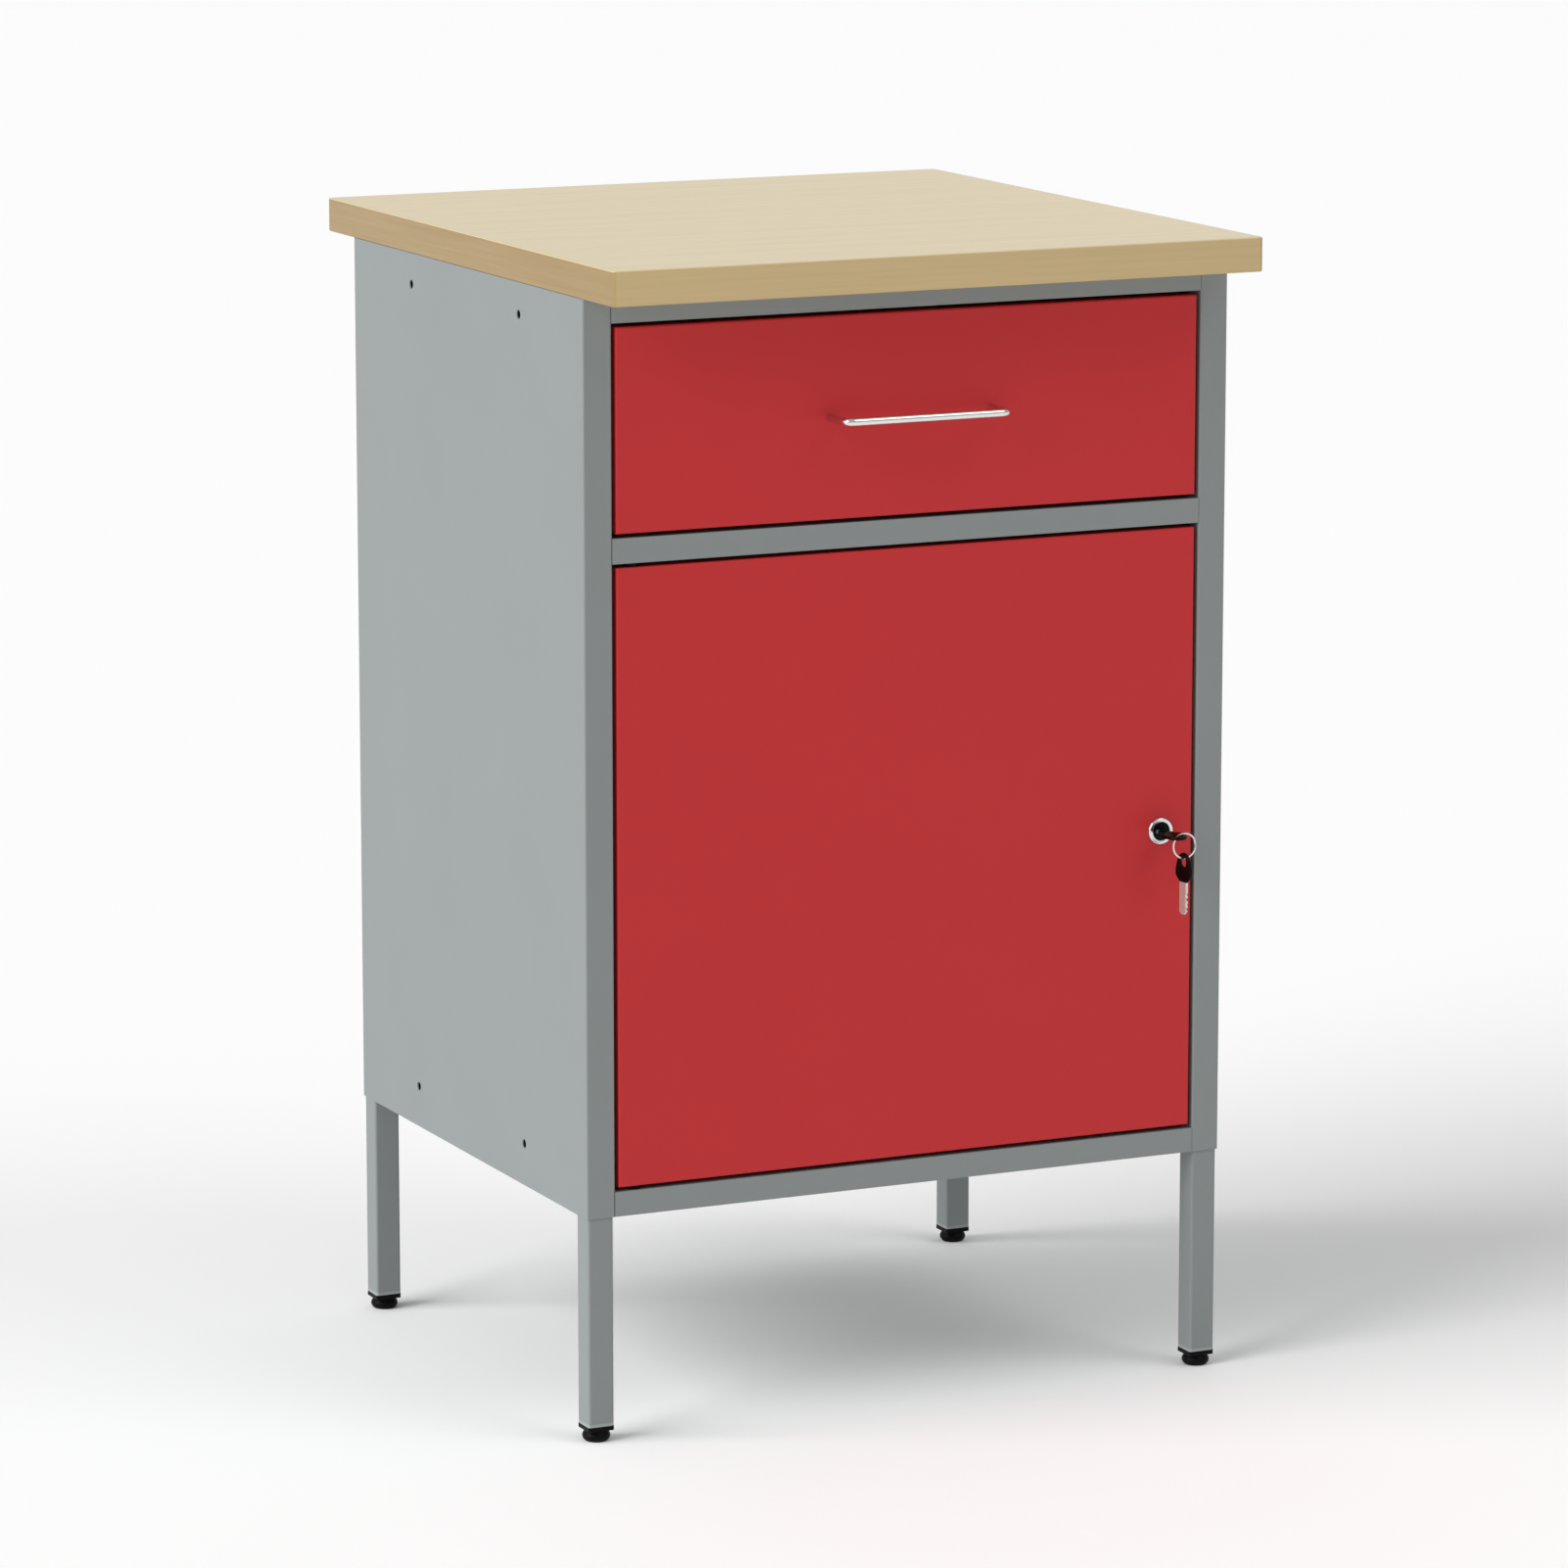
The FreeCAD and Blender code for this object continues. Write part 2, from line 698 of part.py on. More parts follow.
def make_door():
    body = sub_part("door_panel")
    make_front_pan(body, mm.door_height, mm.door_lip)
    half = mm.bush_width / 2 + mm.assembly_play
    setback = mm.hinge_setback
    bush_holes = new_sketch(body, "XY")
    draw_rectangle(bush_holes, hinge_x - half, hinge_x + half, setback - half, setback + half)
    pocket(body, bush_holes)
    lock_hole = new_sketch(body, "XZ")
    draw_bore(lock_hole, lock_x, mm.door_height / 2, mm.lock_barrel_diameter + mm.assembly_play * 2)
    pocket(body, lock_hole, mm.panel_sheet, towards=1)
    place(body, 0, 0, door_bottom)


def make_door_stiffener():
    """A hat section down the middle of the door, its flanges against the inside of the skin."""
    wall = mm.panel_sheet
    half = mm.stiffener_width / 2
    foot = half + mm.stiffener_flange
    top = front_depth - wall
    section = [
        (-foot, wall), (wall - half, wall), (wall - half, top - wall), (half - wall, top - wall),
        (half - wall, wall), (foot, wall), (foot, wall * 2), (half, wall * 2), (half, top), (-half, top),
        (-half, wall * 2), (-foot, wall * 2),
    ]
    body = sub_part("door_stiffener")
    pad(body, draw_outline(new_sketch(body, "XY"), section), mm.door_height - mm.stiffener_inset * 2)
    place(body, 0, 0, door_bottom + mm.stiffener_inset)


def make_door_stops():
    """Two plates behind the right post, each with a rubber button that the door comes to rest on."""
    plates = []
    buttons = []
    reach = opening_half - mm.stop_reach
    button_x = reach + mm.buffer_diameter / 2 + mm.panel_sheet
    for height in (door_bottom + mm.stop_inset, door_top - mm.stop_inset):
        plate = new_body("door_stop")
        outline = draw_rectangle(new_sketch(plate, "XZ"), reach, post_x + mm.tube_size / 4,
                                 -mm.stop_height / 2, mm.stop_height / 2)
        pad(plate, outline, mm.stop_sheet)
        place(plate, 0, front_post_back, height)
        plates.append(plate)
        button = new_body("door_buffer")
        disc = draw_peg(new_sketch(button, "XZ"), 0, 0, mm.buffer_diameter)
        pad(button, disc, mm.buffer_height - mm.buffer_gap, towards=-1)
        place(button, button_x, front_post_back, height)
        buttons.append(button)
    sub_part_group("door_stops", plates)
    sub_part_group("door_buffers", buttons)


# Parts of the lock are drawn with z running into the cabinet from the front of the door.
cam_level = front_post_back + mm.cam_gap
cam_screw_length = mm.screw_length / 2


def make_lock_housing():
    """Bright rim in front of the door and a barrel with two flats behind it."""
    barrel = mm.lock_barrel_diameter / 2
    body = sub_part("lock_housing")
    rim = draw_peg(new_sketch(body, "XY"), 0, 0, mm.lock_rim_diameter, RIM_SIDES)
    pad(body, rim, mm.lock_rim_height, towards=-1)
    bevel_edges(body, mm.lock_rim_chamfer, level_edge(-mm.lock_rim_height))
    pad(body, draw_peg(new_sketch(body, "XY"), 0, 0, mm.lock_barrel_diameter), front_post_back)
    pocket(body, draw_bore(new_sketch(body, "XY"), 0, 0, mm.plug_diameter + mm.plug_play * 2, RIM_SIDES))
    flats = new_sketch(body, "XY", front_post_back)
    for side in (-1, 1):
        draw_rectangle(flats, -barrel, barrel, mm.lock_flats / 2 * side, (barrel + 1) * side)
    pocket(body, flats, front_post_back, towards=-1)
    place(body, lock_x, 0, lock_z, toward_back)


def make_lock_nut():
    """A hexagon nut on the barrel, against the inside of the door's skin."""
    body = sub_part("lock_nut")
    radius = mm.lock_nut_width / 2 / math.cos(math.pi / 6)
    corners = [(radius * math.cos(math.pi / 3 * k), radius * math.sin(math.pi / 3 * k)) for k in range(6)]
    outline = draw_outline(new_sketch(body, "XY"), corners)
    draw_bore(outline, 0, 0, mm.lock_barrel_diameter + mm.assembly_play)
    pad(body, outline, mm.lock_nut_height)
    place(body, lock_x, mm.panel_sheet, lock_z, toward_back)


def make_lock_plug():
    """A cylinder with a level keyway in front and a square tail that drives the cam."""
    front = mm.plug_recess - mm.lock_rim_height
    half_tail = mm.plug_square / 2
    body = sub_part("lock_plug")
    cylinder = draw_peg(new_sketch(body, "XY", front), 0, 0, mm.plug_diameter, RIM_SIDES)
    pad(body, cylinder, cam_level - front)
    tail = draw_rectangle(new_sketch(body, "XY", cam_level), -half_tail, half_tail, -half_tail, half_tail)
    pad(body, tail, mm.cam_sheet)
    keyway = new_sketch(body, "XY", front)
    half_slot = mm.key_blade_width / 2 + mm.assembly_play
    half_gap = mm.key_blade_thickness / 2 + mm.assembly_play
    draw_rectangle(keyway, -half_slot, half_slot, -half_gap, half_gap)
    pocket(body, keyway, mm.keyway_depth, towards=1)
    thread = draw_bore(new_sketch(body, "XY", cam_level + mm.cam_sheet), 0, 0, screw_hole, SCREW_SIDES)
    pocket(body, thread, cam_screw_length + mm.assembly_play, towards=-1)
    place(body, lock_x, 0, lock_z, toward_back)


def make_lock_cam():
    """A tongue that stands up when unlocked and turns behind the right post to lock."""
    half = mm.cam_width / 2
    hole = mm.plug_square / 2 + mm.assembly_play
    corner_bevel = half * 0.6
    body = sub_part("lock_cam")
    outline = draw_rectangle(new_sketch(body, "XY"), -half, half, -mm.cam_length, half)
    pad(body, outline, mm.cam_sheet)
    bevel_edges(body, corner_bevel, lambda box: runs_along(box, "z"))
    pocket(body, draw_rectangle(new_sketch(body, "XY"), -hole, hole, -hole, hole))
    place(body, lock_x, cam_level, lock_z, toward_back)


def make_cam_screw():
    screw = make_screw("cam_screw", mm.screw_head_height, cam_screw_length)
    sub_parts.append(screw)
    place(screw, lock_x, cam_level + mm.cam_sheet, lock_z, toward_back)


# A key is drawn lying flat, its eye at the origin and its blade towards +Y.
eye_radius = mm.key_eye_diameter / 2 + mm.key_eye_wall
shoulder_y = mm.key_head_length - eye_radius

# Depths of the cuts along a blade, as shares of its width
NOTCH_DEPTHS = (0.14, 0.24, 0.1, 0.2)


def make_key(prefix, place_key):
    """A plastic head with an eye, and a steel blade with one notched edge."""
    half = mm.key_head_width / 2
    neck = mm.key_neck / 2
    cheek_start = half * 0.7
    cheek_end = shoulder_y * 0.7
    head = sub_part(f"{prefix}key_head")
    outline = [
        (-eye_radius, 0), (-half, cheek_start), (-half, cheek_end), (-neck, shoulder_y),
        (neck, shoulder_y), (half, cheek_end), (half, cheek_start), (eye_radius, 0),
    ]
    pad(head, draw_outline(new_sketch(head, "XY"), outline), mm.key_head_thickness, both_ways=True)
    pad(head, draw_peg(new_sketch(head, "XY"), 0, 0, eye_radius * 2), mm.key_head_thickness, both_ways=True)
    pocket(head, draw_bore(new_sketch(head, "XY"), 0, 0, mm.key_eye_diameter))
    level = mm.key_head_thickness / 2
    bevel_edges(head, mm.key_head_bevel, level_edge(level, -level))
    place_key(head)

    blade = sub_part(f"{prefix}key_blade")
    edge = mm.key_blade_width / 2
    first_notch = shoulder_y + mm.key_blade_length * 0.325
    notch_pitch = mm.key_blade_length * 0.15
    notch_length = notch_pitch * 0.75
    notches = []
    for number, share in enumerate(NOTCH_DEPTHS):
        start = first_notch + notch_pitch * number
        bottom = edge - mm.key_blade_width * share
        notches += [(edge, start), (bottom, start + notch_length / 2), (edge, start + notch_length)]
    tip = shoulder_y + mm.key_blade_length
    tip_half = edge * 0.3
    point = [(tip_half, tip), (-tip_half, tip), (-edge, tip - notch_pitch / 2)]
    corners = [(-edge, shoulder_y), (edge, shoulder_y)] + notches + point
    pad(blade, draw_outline(new_sketch(blade, "XY"), corners), mm.key_blade_thickness, both_ways=True)
    place_key(blade)


# The ring goes down through the eye of the key in the lock and up again outside the eye's right wall.
ring_pivot_x = lock_x + (mm.key_eye_diameter + mm.key_eye_wall) / 2
ring_lift = mm.key_head_thickness / 2 + mm.ring_play + mm.ring_wire / 2
ring_z = lock_z + ring_lift - mm.ring_radius
spare_eye_z = ring_z - mm.ring_radius + mm.ring_wire / 2 + mm.key_play - mm.key_eye_diameter / 2
SPARE_KEY_TURN = math.radians(-82)


def place_key_in_lock(item):
    place(item, lock_x, -mm.key_reach, lock_z)


def place_spare_key(item):
    """The spare key hangs blade down, its flat side turned most of the way towards the side panels."""
    across = Vector(math.cos(SPARE_KEY_TURN), math.sin(SPARE_KEY_TURN), 0)
    down = Vector(0, 0, -1)
    place(item, ring_pivot_x, -mm.key_reach, spare_eye_z, Rotation(across, down, across.cross(down), "XYZ"))


def make_key_ring():
    body = sub_part("key_ring")
    level = mm.ring_wire / 2
    outline = draw_peg(new_sketch(body, "XY"), 0, 0, (mm.ring_radius + level) * 2, RIM_SIDES)
    draw_bore(outline, 0, 0, (mm.ring_radius - level) * 2, RIM_SIDES)
    pad(body, outline, mm.ring_wire, both_ways=True)
    bevel_edges(body, mm.ring_bevel, level_edge(level, -level))
    place(body, ring_pivot_x, -mm.key_reach, ring_z, toward_back)


box_half = opening_half - mm.runner_thickness
handle_z = mm.drawer_front_height / 2


def make_drawer_front():
    body = sub_part("drawer_front")
    make_front_pan(body, mm.drawer_front_height, mm.drawer_lip)
    handle_holes = new_sketch(body, "XZ")
    for side in (-1, 1):
        x = mm.handle_centres / 2 * side
        draw_bore(handle_holes, x, handle_z, handle_thread + mm.assembly_play * 2, SCREW_SIDES)
    pocket(body, handle_holes, mm.panel_sheet, towards=1)
    place(body, 0, 0, drawer_bottom)


def make_drawer_box():
    """Four walls with a folded hem round their top, welded to the lips of the front, and a floor plate."""
    wall = mm.panel_sheet
    height = mm.drawer_box_height
    rear = mm.carcass_depth - mm.drawer_box_rear_gap
    level = drawer_bottom + mm.drawer_box_lift
    walls = sub_part("drawer_box_walls")
    outlines = new_sketch(walls, "XY")
    draw_rectangle(outlines, -box_half, box_half, front_depth, rear)
    draw_rectangle(outlines, wall - box_half, box_half - wall, front_depth + wall, rear - wall)
    pad(walls, outlines, height)
    hem = new_sketch(walls, "XY", height)
    draw_rectangle(hem, wall / 2 - box_half, box_half - wall / 2, front_depth + wall / 2, rear - wall / 2)
    draw_rectangle(hem, wall * 2 - box_half, box_half - wall * 2, front_depth + wall * 2, rear - wall * 2)
    pad(walls, hem, mm.drawer_box_hem, towards=-1)
    runner_holes = new_sketch(walls, "YZ")
    for y in runner_screw_places():
        draw_bore(runner_holes, y, mm.runner_level - mm.drawer_box_lift, screw_hole, SCREW_SIDES)
    pocket(walls, runner_holes)
    place(walls, 0, 0, level)
    floor = sub_part("drawer_box_floor")
    plate = new_sketch(floor, "XY")
    draw_rectangle(plate, wall - box_half, box_half - wall, front_depth + wall, rear - wall)
    pad(floor, plate, wall)
    place(floor, 0, 0, level)


def make_handle():
    """A round rod bent twice at right angles, tapped at both ends for its screws."""
    half = mm.handle_centres / 2
    bend = mm.handle_bend
    reach = mm.handle_reach
    body = sub_part("drawer_handle")
    path = new_sketch(body, "XY")
    runs = [
        ((-half, 0), (-half, bend - reach)),
        ((bend - half, -reach), (half - bend, -reach)),
        ((half, bend - reach), (half, 0)),
    ]
    for start, end in runs:
        first = Vector(float(start[0]), float(start[1]))
        last = Vector(float(end[0]), float(end[1]))
        geometry = path.addGeometry(Part.LineSegment(first, last), False)
        tie(path, geometry, 1, *start)
        tie(path, geometry, 2, *end)
    for number, side in enumerate((-1, 1)):
        centre = Vector(float((half - bend) * side), float(bend - reach))
        start_angle, end_angle = ((math.pi, math.pi * 1.5), (math.pi * 1.5, math.pi * 2))[number]
        circle = Part.Circle(centre, Vector(0, 0, 1), float(bend))
        geometry = path.addGeometry(Part.ArcOfCircle(circle, start_angle, end_angle), False)
        path.addConstraint(Sketcher.Constraint("Coincident", geometry, 1, number, 2))
        path.addConstraint(Sketcher.Constraint("Coincident", geometry, 2, number + 1, 1))
        radius = path.addConstraint(Sketcher.Constraint("Radius", geometry, float(bend)))
        path.setExpression(f"Constraints[{radius}]", formula_of(bend))
    section = draw_peg(new_sketch(body, "XZ"), -half, 0, mm.handle_rod)
    rod = body.newObject("PartDesign::AdditivePipe", "Rod")
    rod.Profile = section
    rod.Spine = (path, [])
    threads = new_sketch(body, "XZ")
    for side in (-1, 1):
        draw_bore(threads, half * side, 0, handle_thread + mm.assembly_play, SCREW_SIDES)
    pocket(body, threads, mm.screw_length, towards=-1)
    place(body, 0, 0, drawer_bottom + handle_z)


def make_handle_screws():
    screws = []
    for side in (-1, 1):
        screw = make_screw("handle_screw", mm.screw_head_height, mm.screw_length, handle_thread)
        place(screw, mm.handle_centres / 2 * side, mm.panel_sheet, drawer_bottom + handle_z, toward_back)
        screws.append(screw)
    sub_part_group("handle_screws", screws)


def runner_screw_places():
    """Distances of a runner's screws behind the front face of the carcass."""
    start = front_depth + mm.runner_setback
    return (start + mm.runner_screw_inset, start + runner_length - mm.runner_screw_inset)


def make_runner_bracket(name, side):
    """A channel between the front and the rear post that the fixed runner member is screwed to."""
    wall = mm.rail_sheet
    half = mm.runner_bracket_height / 2
    section = [
        (opening_half, -half), (panel_inside, -half), (panel_inside, wall - half),
        (opening_half + wall, wall - half), (opening_half + wall, half - wall),
        (panel_inside, half - wall), (panel_inside, half), (opening_half, half),
    ]
    body = sub_part(f"runner_bracket_{name}")
    profile = draw_outline(new_sketch(body, "XZ"), [(x * side, z) for x, z in section])
    pad(body, profile, rear_post_face - front_post_back)
    holes = new_sketch(body, "YZ")
    for y in runner_screw_places():
        draw_bore(holes, y - front_post_back, 0, screw_hole, SCREW_SIDES)
    pocket(body, holes)
    place(body, 0, front_post_back, runner_z)


# Section of a runner: u across it from the bracket to the drawer, w up from its middle.
member_sheet = mm.runner_sheet
ball_radius = mm.ball_diameter / 2
outer_w = mm.runner_height / 2
outer_ball_w = outer_w - member_sheet - mm.ball_gap / 2
middle_w = outer_ball_w - mm.ball_gap / 2
inner_ball_w = middle_w - member_sheet - mm.ball_gap / 2
inner_w = inner_ball_w - mm.ball_gap / 2
middle_u = mm.runner_thickness * 0.25
outer_ball_u = mm.runner_thickness * 0.55
inner_ball_u = mm.runner_thickness * 0.64
outer_flange_end = mm.runner_thickness * 0.77
middle_flange_end = mm.runner_thickness * 0.82
inner_flange_end = mm.runner_thickness * 0.48
outer_cage_end = mm.runner_thickness * 0.74
inner_cage_end = mm.runner_thickness * 0.84


def runner_member(label, side, web_back, web_face, flange_end, half_height, races, screw_places=()):
    """A channel with a rounded ball track in each flange, and plain holes where it is screwed on."""
    section = [
        (web_back, -half_height), (web_back, half_height), (flange_end, half_height),
        (flange_end, half_height - member_sheet), (web_face, half_height - member_sheet),
        (web_face, member_sheet - half_height), (flange_end, member_sheet - half_height),
        (flange_end, -half_height),
    ]
    body = sub_part(label)
    profile = draw_outline(new_sketch(body, "XZ"), [((opening_half - u) * side, w) for u, w in section])
    pad(body, profile, runner_length)
    tracks = new_sketch(body, "XZ")
    for u, w in races:
        for way in (-1, 1):
            draw_circle(tracks, (opening_half - u) * side, w * way, mm.ball_diameter + mm.race_play * 2)
    pocket(body, tracks)
    if screw_places:
        holes = new_sketch(body, "YZ")
        for y in screw_places:
            draw_bore(holes, y - front_depth - mm.runner_setback, 0, screw_hole, SCREW_SIDES)
        pocket(body, holes)
    place(body, 0, front_depth + mm.runner_setback, runner_z)


def make_ball(label, x, y, z):
    """A steel ball cut with three rows of eight flats, whose corners lie on the ball's surface."""
    belt_width = mm.ball_diameter * math.cos(math.pi / SCREW_SIDES)
    belt_bevel = mm.ball_diameter * 0.27
    body = new_body(label)
    belt = draw_peg(new_sketch(body, "XY"), 0, 0, belt_width, SCREW_SIDES)
    pad(body, belt, belt_width, both_ways=True)
    bevel_edges(body, belt_bevel, level_edge(belt_width / 2, -belt_width / 2))
    place(body, x, y, z)
    return body


def ball_cage(label, side, web, flange_end, ball_u, ball_w):
    """A thin folded strip with six balls in its windows, in the middle of the runner's length."""
    thin = mm.cage_sheet / 2
    section = [
        (web - thin, -ball_w - thin), (web - thin, ball_w + thin), (flange_end, ball_w + thin),
        (flange_end, ball_w - thin), (web + thin, ball_w - thin), (web + thin, thin - ball_w),
        (flange_end, thin - ball_w), (flange_end, -ball_w - thin),
    ]
    start = (runner_length - mm.cage_length) / 2
    window = ball_radius + mm.race_play / 2
    ball_x = (opening_half - ball_u) * side
    strip = new_body(f"{label}_strip")
    outline = [((opening_half - u) * side, w) for u, w in section]
    profile = draw_outline(new_sketch(strip, "XZ", start), outline)
    pad(strip, profile, mm.cage_length)
    windows = new_sketch(strip, "XY")
    members = [strip]
    for number in (-1, 0, 1):
        y = runner_length / 2 + mm.cage_pitch * number
        draw_rectangle(windows, ball_x - window, ball_x + window, y - window, y + window)
        for way in (-1, 1):
            place_y = front_depth + mm.runner_setback + y
            members.append(make_ball(f"{label}_ball", ball_x, place_y, runner_z + ball_w * way))
    pocket(strip, windows)
    place(strip, 0, front_depth + mm.runner_setback, runner_z)
    sub_part_group(label, members)


def make_runner(name, side):
    """Fixed, middle and drawer member, one inside the other, with a row of balls between each two."""
    thickness = mm.runner_thickness
    places = runner_screw_places()
    outer_race = (outer_ball_u, outer_ball_w)
    inner_race = (inner_ball_u, inner_ball_w)
    runner_member(f"runner_outer_{name}", side, Size(0, "0"), member_sheet, outer_flange_end,
                  outer_w, [outer_race], places)
    runner_member(f"runner_middle_{name}", side, middle_u, middle_u + member_sheet, middle_flange_end,
                  middle_w, [outer_race, inner_race])
    runner_member(f"runner_inner_{name}", side, thickness, thickness - member_sheet, inner_flange_end,
                  inner_w, [inner_race], places)
    outer_web = (member_sheet + middle_u) / 2
    inner_web = (middle_u + member_sheet + inner_flange_end) / 2
    ball_cage(f"ball_cage_outer_{name}", side, outer_web, outer_cage_end, *outer_race)
    ball_cage(f"ball_cage_inner_{name}", side, inner_web, inner_cage_end, *inner_race)


def make_runner_screws():
    fixed = []
    moving = []
    for side in (-1, 1):
        for y in runner_screw_places():
            screw = make_screw("runner_screw", mm.wafer_head_height, mm.screw_length)
            head_inwards = Rotation(Vector(0, 1, 0), -90 * side)
            place(screw, (opening_half - member_sheet) * side, y, runner_z, head_inwards)
            fixed.append(screw)
            drawer_screw = make_screw("drawer_runner_screw", mm.wafer_head_height, mm.short_screw_length)
            head_outwards = Rotation(Vector(0, 1, 0), 90 * side)
            place(drawer_screw, (box_half + member_sheet) * side, y, runner_z, head_outwards)
            moving.append(drawer_screw)
    sub_part_group("runner_screws", fixed)
    sub_part_group("drawer_runner_screws", moving)


def make_everything():
    make_worktop()
    make_back_panel()
    make_front_rail("top", rail_top_bottom)
    make_front_rail("middle", rail_middle_bottom, pin_level=mm.rail_sheet)
    make_front_rail("bottom", Size(0, "0"), pin_level=mm.rail_height)
    make_deck("cupboard_floor", mm.rail_height, mm.rail_height - mm.panel_sheet)
    make_deck("drawer_divider", rail_middle_top, mm.rail_height)
    make_shelf()
    plugs = []
    for side_name, side in (("left", -1), ("right", 1)):
        make_side_panel(side_name, side)
        make_shelf_bearer(side_name, side)
        make_runner_bracket(side_name, side)
        make_runner(side_name, side)
        for end_name, y in (("front", post_front_y), ("rear", post_rear_y)):
            make_leg_post(f"{end_name}_{side_name}", post_x * side, y)
            make_levelling_foot(f"{end_name}_{side_name}", post_x * side, y)
            plugs.append(make_leg_plug(post_x * side, y))
    sub_part_group("leg_plugs", plugs)
    make_worktop_screws()
    make_pivots()
    make_door()
    make_door_stiffener()
    make_door_stops()
    make_lock_housing()
    make_lock_nut()
    make_lock_plug()
    make_lock_cam()
    make_cam_screw()
    make_key("", place_key_in_lock)
    make_key_ring()
    make_key("spare_", place_spare_key)
    make_drawer_front()
    make_drawer_box()
    make_handle()
    make_handle_screws()
    make_runner_screws()
    doc.recompute()


def check_everything():
    """Stops before anything is written if a feature failed, a cut cut nothing, or a shape is bad."""
    for item in doc.Objects:
        if {"Invalid", "Error"} & set(item.State):
            raise RuntimeError(f"{item.Label} failed: {item.State}")
        is_cut = item.TypeId == "PartDesign::Pocket"
        if is_cut and item.BaseFeature.Shape.Volume - item.Shape.Volume < TOLERANCE:
            raise RuntimeError(f"{item.Label} of {item.getParentGeoFeatureGroup().Label} cuts nothing")
    for item in sub_parts:
        if item.Shape.isNull() or not item.Shape.isValid() or not item.Shape.Solids:
            raise RuntimeError(f"{item.Label} has a bad shape")


make_everything()
check_everything()
for item in sub_parts:
    item.Shape.exportStep(f"parts/{item.Label}.step")
print(len(sub_parts), "sub-parts written")
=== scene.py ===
import math
from types import SimpleNamespace

import bmesh
import bpy
import numpy as np
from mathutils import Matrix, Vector


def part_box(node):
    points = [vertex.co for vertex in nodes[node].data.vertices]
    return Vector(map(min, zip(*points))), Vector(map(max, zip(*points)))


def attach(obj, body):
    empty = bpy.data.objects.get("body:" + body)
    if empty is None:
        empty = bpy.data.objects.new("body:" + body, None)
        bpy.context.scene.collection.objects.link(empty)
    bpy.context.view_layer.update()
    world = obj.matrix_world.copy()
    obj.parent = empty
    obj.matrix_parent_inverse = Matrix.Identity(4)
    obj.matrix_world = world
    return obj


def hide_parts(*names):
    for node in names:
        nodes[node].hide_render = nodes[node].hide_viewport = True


# Workbench tool cabinet: grey folded sheet round square legs, red fronts, a laminated worktop, a drawer
# on ball runners, a cupboard with a cam lock, and a second key hanging on a ring from the one in the lock.
#
# Shapes are worked out in millimetres and MM turns them into metres. X is right, Y back and Z up.
MM = 0.001

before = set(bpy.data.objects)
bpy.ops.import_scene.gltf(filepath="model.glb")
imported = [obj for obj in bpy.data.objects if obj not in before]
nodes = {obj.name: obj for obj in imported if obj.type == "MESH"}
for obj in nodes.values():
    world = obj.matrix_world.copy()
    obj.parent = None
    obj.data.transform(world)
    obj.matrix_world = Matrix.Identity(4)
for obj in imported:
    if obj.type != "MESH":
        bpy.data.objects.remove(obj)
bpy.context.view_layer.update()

SIDES = {"left": -1, "right": 1}
LEG_PLACES = [f"{end}_{side}" for end in ("front", "rear") for side in SIDES]
EDGE_BAND = 2
CORNER_ROUND = 3
SCREW_HEAD = 7.8
PAN_HEIGHT = 2.2
LOW_HEIGHT = 1.2
SCREW_SHANK = 3.9
KEY_EYE_WALL = 6.8
KEY_NECK = 14.6
SPARE_KEY_TURN = math.radians(-82)
BALL_RADIUS = 1.52
# Half the height of a ball in the solids, which is faceted.
FLAT_BALL_RADIUS = 1.386
CAGE_PITCH = 32


def corners(node):
    """Lowest and highest corner of a node at rest, in millimetres."""
    return tuple(np.array(corner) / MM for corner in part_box(node))


def middle(node):
    """Centre of a node's box at rest, in millimetres."""
    low, high = corners(node)
    return (low + high) / 2


# Shapes

def soften(points, reach, steps, closed=False):
    """Rounds the bends of a run of points.

    Round a point b the curve is (1-t)^2 a + 2 t (1-t) b + t^2 c, where a and c lie a reach before and after
    b on the run, or less than half way to the next point where that is nearer.
    """
    points = np.asarray(points, float)
    most = 0.45
    t = np.linspace(0, 1, steps)[None, :, None]

    def toward(others):
        run = others - points
        length = np.linalg.norm(run, axis=1, keepdims=True)
        return (points + run * np.minimum(reach / length, most))[:, None]

    before = toward(np.roll(points, 1, axis=0))
    after = toward(np.roll(points, -1, axis=0))
    curves = (1 - t) ** 2 * before + 2 * t * (1 - t) * points[:, None] + t ** 2 * after
    if closed:
        return curves.reshape(-1, points.shape[1])
    return np.concatenate([points[:1], curves[1:-1].reshape(-1, points.shape[1]), points[-1:]])


def turned(profile, around):
    """Surface of revolution: (r, h) on the profile goes to (r cos a, r sin a, h) for every angle a."""
    angle = np.linspace(0, 2 * math.pi, around, endpoint=False)
    radius = profile[:, :1]
    height = np.broadcast_to(profile[:, 1:], (len(profile), around))
    return np.stack([radius * np.cos(angle), radius * np.sin(angle), height], axis=-1)


def swept(path, section, up):
    """A section carried along a path: point = path + u (tangent x up) + w up, for each (u, w)."""
    tangent = np.gradient(path, axis=0)
    side = np.cross(tangent, up)
    side /= np.linalg.norm(side, axis=1, keepdims=True)
    return path[:, None] + section[None, :, :1] * side[:, None] + section[None, :, 1:] * np.asarray(up, float)


def layered(outline, rings):
    """One outline repeated: for each (inset, level) it moves in along its normal and up to the level."""
    run = np.roll(outline, -1, axis=0) - np.roll(outline, 1, axis=0)
    run /= np.linalg.norm(run, axis=1, keepdims=True)
    outward = np.stack([run[:, 1], -run[:, 0]], axis=1)
    inset, level = np.asarray(rings, float).T
    flat = outline[None] - inset[:, None, None] * outward[None]
    return np.concatenate([flat, np.broadcast_to(level[:, None, None], flat.shape[:2] + (1,))], axis=-1)


